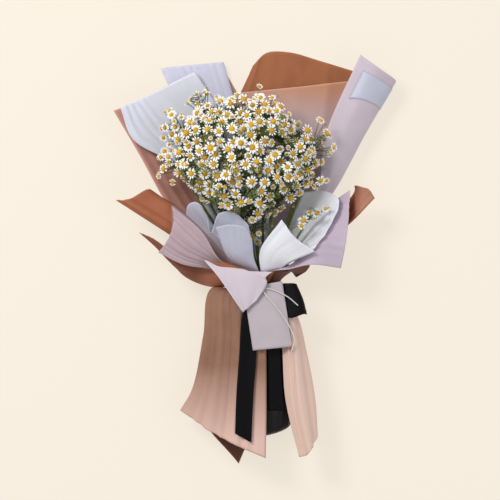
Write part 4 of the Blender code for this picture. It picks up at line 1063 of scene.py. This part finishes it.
# Discs and buds: the middle and the rim, then the dots, where they show, and the aged ones.
DISCS = (("disc", (250, 212, 48), (238, 186, 22)), ("bud", (196, 186, 78), (138, 146, 56)))
DISC_ROUGHNESS, DISC_DOTS, DOT_COLOUR, DOT_RANGE = 0.7, 1500.0, (196, 140, 16), (0.2, 0.9)
AGED_NOISE, AGED_RANGE, AGED_SHARE, AGED_COLOUR = (40.0, 1.0), (0.4, 0.7), 0.6, (140, 100, 30)
DISC_DOT_BUMPS = ((0.7, 0.35),)
GREEN_COLOURS, GREEN_ROUGHNESS = ((28, 40, 16), (140, 158, 76)), 0.6
GREEN_DARK, GREEN_DARKER = (30, 38, 16), 0.35
GREEN_MOTTLE, GREEN_GRAIN, GREEN_BUMPS = (160.0, 3.0), (1200.0, 2.0), ((0.3, 0.15),)


def linear(red, green, blue):
    """A colour as it looks on a screen, made the light that it stands for."""
    parts = np.array((red, green, blue)) / 255
    light = np.where(parts <= 0.04045, parts / 12.92, ((parts + 0.055) / 1.055) ** 2.4)
    return (*(float(part) for part in light), 1.0)


def fill(tree, made, values):
    """Sets the inputs of a node, or links them to what other nodes give."""
    for key, value in values.items():
        if isinstance(value, bpy.types.NodeSocket):
            tree.links.new(value, made.inputs[key])
        else:
            made.inputs[key].default_value = value


def node(tree, kind, values, **settings):
    """A new node with its settings and its inputs."""
    made = tree.nodes.new("ShaderNode" + kind)
    for key, value in settings.items():
        setattr(made, key, value)
    fill(tree, made, values)
    return made


def material(name, roughness, coordinates="Object"):
    """A new material: its tree, its shader and its coordinates."""
    made = bpy.data.materials.new(name)
    made.use_nodes = True
    tree = made.node_tree
    shader = tree.nodes["Principled BSDF"]
    shader.inputs["Roughness"].default_value = roughness
    PALETTE[name] = made
    return tree, shader, node(tree, "TexCoord", {}).outputs[coordinates]


def blend(tree, share, low, high):
    """A colour between two others, each as it looks on a screen or from another node."""
    low, high = (linear(*colour) if isinstance(colour, tuple) else colour for colour in (low, high))
    return node(tree, "Mix", {0: share, 6: low, 7: high}, data_type="RGBA").outputs[2]


def noise(tree, place, scale, detail, stretch=None):
    if stretch:
        place = node(tree, "Mapping", {"Vector": place, "Scale": stretch}).outputs["Vector"]
    values = {"Vector": place, "Scale": scale, "Detail": detail, "Roughness": NOISE_ROUGHNESS}
    return node(tree, "TexNoise", values).outputs["Fac"]


def ranged(tree, value, low, high):
    """A value spread so that low becomes 0 and high becomes 1."""
    return node(tree, "MapRange", {"Value": value, "From Min": low, "From Max": high}).outputs["Result"]


def clouds(tree, place, scale, detail):
    """Soft patches from 0 to 1."""
    return ranged(tree, noise(tree, place, scale, detail), *CLOUD_RANGE)


def reckoned(tree, operation, first, second):
    return node(tree, "Math", {0: first, 1: second}, operation=operation).outputs[0]


def carried(tree, name):
    """A number that the corners of the mesh carry."""
    return node(tree, "Attribute", {}, attribute_name=name).outputs["Fac"]


def dress(tree, shader, colour, heights, bumps, others=()):
    """Gives the shader its colour, a bump for each height, and its other settings."""
    normal = None
    for height, (strength, depth) in zip(heights, bumps):
        values = {"Height": height, "Strength": strength, "Distance": depth * MM}
        if normal:
            values["Normal"] = normal
        normal = node(tree, "Bump", values).outputs["Normal"]
    fill(tree, shader, {"Base Color": colour, "Normal": normal, **dict(others)})


def paper(name, colour, shade, fade=None):
    """Matt uncoated paper: mottled, fibrous, faintly creased and worn pale along its edge."""
    tree, shader, place = material(name, PAPER_ROUGHNESS)
    mixed = blend(tree, clouds(tree, place, *PAPER_MOTTLE), shade, colour)
    cloud = reckoned(tree, "MULTIPLY", clouds(tree, place, *PAPER_CLOUD), CLOUD_SHARE)
    mixed = blend(tree, cloud, mixed, colour)
    if fade:
        axis, start, end, other = fade
        at = node(tree, "SeparateXYZ", {"Vector": place}).outputs[axis]
        mixed = blend(tree, ranged(tree, at, start * MM, end * MM), mixed, other)
    worn = reckoned(tree, "MULTIPLY", carried(tree, "edge"), WORN_SHARE)
    paler = tuple(min(255, part + WORN_PALER) for part in colour)
    heights = [noise(tree, place, *settings) for settings in (PAPER_SOFT, PAPER_FIBRE)]
    dress(tree, shader, blend(tree, worn, mixed, paler), heights, PAPER_BUMPS)


def tissue_paper(name, colour, shade):
    """Thin tissue: pale, soft, with fine sharp creases, and light coming through it."""
    tree, shader, place = material(name, TISSUE_ROUGHNESS)
    mixed = blend(tree, clouds(tree, place, *TISSUE_CLOUD), shade, colour)
    cells = node(tree, "TexVoronoi", {"Vector": place, "Scale": TISSUE_CELLS}, feature="DISTANCE_TO_EDGE")
    creases = ranged(tree, cells.outputs["Distance"], 0.0, CREASE_WIDTH)
    soft, grain = (noise(tree, place, *settings) for settings in (TISSUE_SOFT, TISSUE_GRAIN))
    dress(tree, shader, mixed, (soft, creases, grain), TISSUE_BUMPS, TISSUE_GLOW)


def satin():
    """Black satin ribbon: fine threads across it, a soft bluish sheen and a firm edge."""
    tree, shader, place = material("satin", SATIN_ROUGHNESS, "UV")
    waves = []
    for scale, bend, way in SATIN_WAVES:
        values = {"Vector": place, "Scale": scale, "Distortion": bend}
        waves.append(node(tree, "TexWave", values, bands_direction=way).outputs["Fac"])
    others = {**SATIN_SHINE, "Sheen Tint": linear(*SATIN_TINT)}
    colour = blend(tree, waves[0], *SATIN_COLOURS)
    dress(tree, shader, colour, (*waves, carried(tree, "edge")), SATIN_BUMPS, others)


def board(name, colour, roughness, tooth):
    """Smooth card or label stock with a faint tooth."""
    tree, shader, place = material(name, roughness)
    darker = tuple(part - BOARD_DARKER for part in colour)
    mixed = blend(tree, clouds(tree, place, *BOARD_MOTTLE), darker, colour)
    dress(tree, shader, mixed, [noise(tree, place, *BOARD_TOOTH)], [(tooth, TOOTH_DEPTH)])


def thread(name, colour, shade, scale, turn):
    """Twisted thread: fine strands that wind round it."""
    tree, shader, place = material(name, THREAD_ROUGHNESS)
    values = {"Vector": place, "Scale": scale, "Distortion": turn, "Detail": THREAD_DETAIL}
    strands = node(tree, "TexWave", values).outputs["Fac"]
    heights = (strands, noise(tree, place, *THREAD_FUZZ))
    dress(tree, shader, blend(tree, strands, shade, colour), heights, THREAD_BUMPS)


def pouch_film():
    """Dark crumpled plastic film with a soft gloss."""
    tree, shader, place = material("pouch", POUCH_ROUGHNESS)
    crumple = noise(tree, place, *POUCH_CRUMPLE)
    dress(tree, shader, blend(tree, crumple, *POUCH_COLOURS), [crumple], POUCH_BUMPS, POUCH_SHINE)


def petal_skin():
    """White petals, faintly green at the root."""
    tree, shader, place = material("petal", PETAL_ROUGHNESS)
    mixed = blend(tree, ranged(tree, carried(tree, "tone"), *PETAL_ROOT_RUN), *PETAL_COLOURS)
    dress(tree, shader, mixed, [noise(tree, place, *PETAL_GRAIN)], PETAL_BUMPS, PETAL_GLOW)


def disc_skin(name, middle, rim):
    """The dotted disc of a flower or bud, browner in some flowers than in others."""
    tree, shader, place = material(name, DISC_ROUGHNESS)
    dots = node(tree, "TexVoronoi", {"Vector": place, "Scale": DISC_DOTS}).outputs["Distance"]
    mixed = blend(tree, carried(tree, "tone"), middle, rim)
    mixed = blend(tree, ranged(tree, dots, *DOT_RANGE), mixed, DOT_COLOUR)
    aged = ranged(tree, noise(tree, place, *AGED_NOISE), *AGED_RANGE)
    mixed = blend(tree, reckoned(tree, "MULTIPLY", aged, AGED_SHARE), mixed, AGED_COLOUR)
    dress(tree, shader, mixed, [reckoned(tree, "SUBTRACT", 1.0, dots)], DISC_DOT_BUMPS)


def greenery():
    """Stems, cups and leaves, darker deep in the bunch as the tone of each corner says; for the leaves
    this is painted shade.
    """
    tree, shader, place = material("green", GREEN_ROUGHNESS)
    mixed = blend(tree, carried(tree, "tone"), *GREEN_COLOURS)
    darker = blend(tree, GREEN_DARKER, mixed, GREEN_DARK)
    mixed = blend(tree, clouds(tree, place, *GREEN_MOTTLE), darker, mixed)
    dress(tree, shader, mixed, [noise(tree, place, *GREEN_GRAIN)], GREEN_BUMPS)


def make_palette():
    tables = (
        (paper, PAPER_COLOURS), (tissue_paper, TISSUE_COLOURS), (board, BOARDS), (thread, THREADS),
        (disc_skin, DISCS),
    )
    for make, rows in tables:
        for row in rows:
            make(*row)
    for make in (satin, pouch_film, petal_skin, greenery):
        make()


# The floor, the lights and the camera


def studio():
    mesh = bpy.data.meshes.new("floor")
    corners = [(x * FLOOR_HALF, y * FLOOR_HALF, 0) for x, y in ((-1, -1), (1, -1), (1, 1), (-1, 1))]
    mesh.from_pydata(corners, [], [(0, 1, 2, 3)])
    tree, shader, _ = material("floor", FLOOR_ROUGHNESS)
    fill(tree, shader, {
        "Base Color": linear(*FLOOR_PAINT), "Emission Color": linear(*FLOOR_COLOUR),
        "Emission Strength": FLOOR_GLOW,
    })
    mesh.materials.append(PALETTE["floor"])
    floor = linked("floor", mesh)
    floor.location.z = -FLOOR_DROP
    world = bpy.data.worlds.new("studio")
    world.use_nodes = True
    sky = world.node_tree.nodes["Background"]
    fill(world.node_tree, sky, {"Color": (*WORLD_COLOUR, 1), "Strength": WORLD_STRENGTH})
    bpy.context.scene.world = world
    bpy.context.scene.view_settings.view_transform = "Standard"
    for name, place, size, power, colour in LIGHTS:
        lamp = bpy.data.lights.new(name, "AREA")
        lamp.size, lamp.energy, lamp.color = size, power, colour
        made = linked(name, lamp)
        made.location = place
        aim = Vector((0, 0, AIM_Z)) - Vector(place)
        made.rotation_euler = aim.to_track_quat("-Z", "Y").to_euler()


def camera():
    lens = bpy.data.cameras.new("camera")
    lens.sensor_width = SENSOR
    lens.lens = SENSOR * (CAMERA_HEIGHT - VIEW_Z) / VIEW_WIDTH
    lens.clip_end = VIEW_DEPTH
    made = linked("camera", lens)
    made.location = (VIEW_X * MM, VIEW_Y * MM, CAMERA_HEIGHT * MM)
    bpy.context.scene.camera = made


def build():
    camera()
    make_palette()
    card_string()
    papers = [sheet(name) for name in SHEETS if FINISHES[name].slot in PAPER_SLOTS]
    for name in ("ribbon_loop", "ribbon_tail_left", "ribbon_tail_right"):
        sheet(name)
    ribbon_band()
    sheet("card")
    for make in (label, twine_tie, water_pouch):
        make()
    walls = paper_points(papers)
    sprays = []
    names = sorted(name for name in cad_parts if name.startswith("spray_"))
    for name in names:
        points, near = corners_of(name)
        flowers, stem = cad_flowers(points, near), cad_stem(points, near)
        sprays.append(Spray(flowers, stem, cad_leaf(points, flowers, stem)))
    extras = small_flowers(sprays, walls)
    for name, spray, more in zip(names, sprays, extras):
        fine_spray(name, spray, more, walls)
    studio()


build()
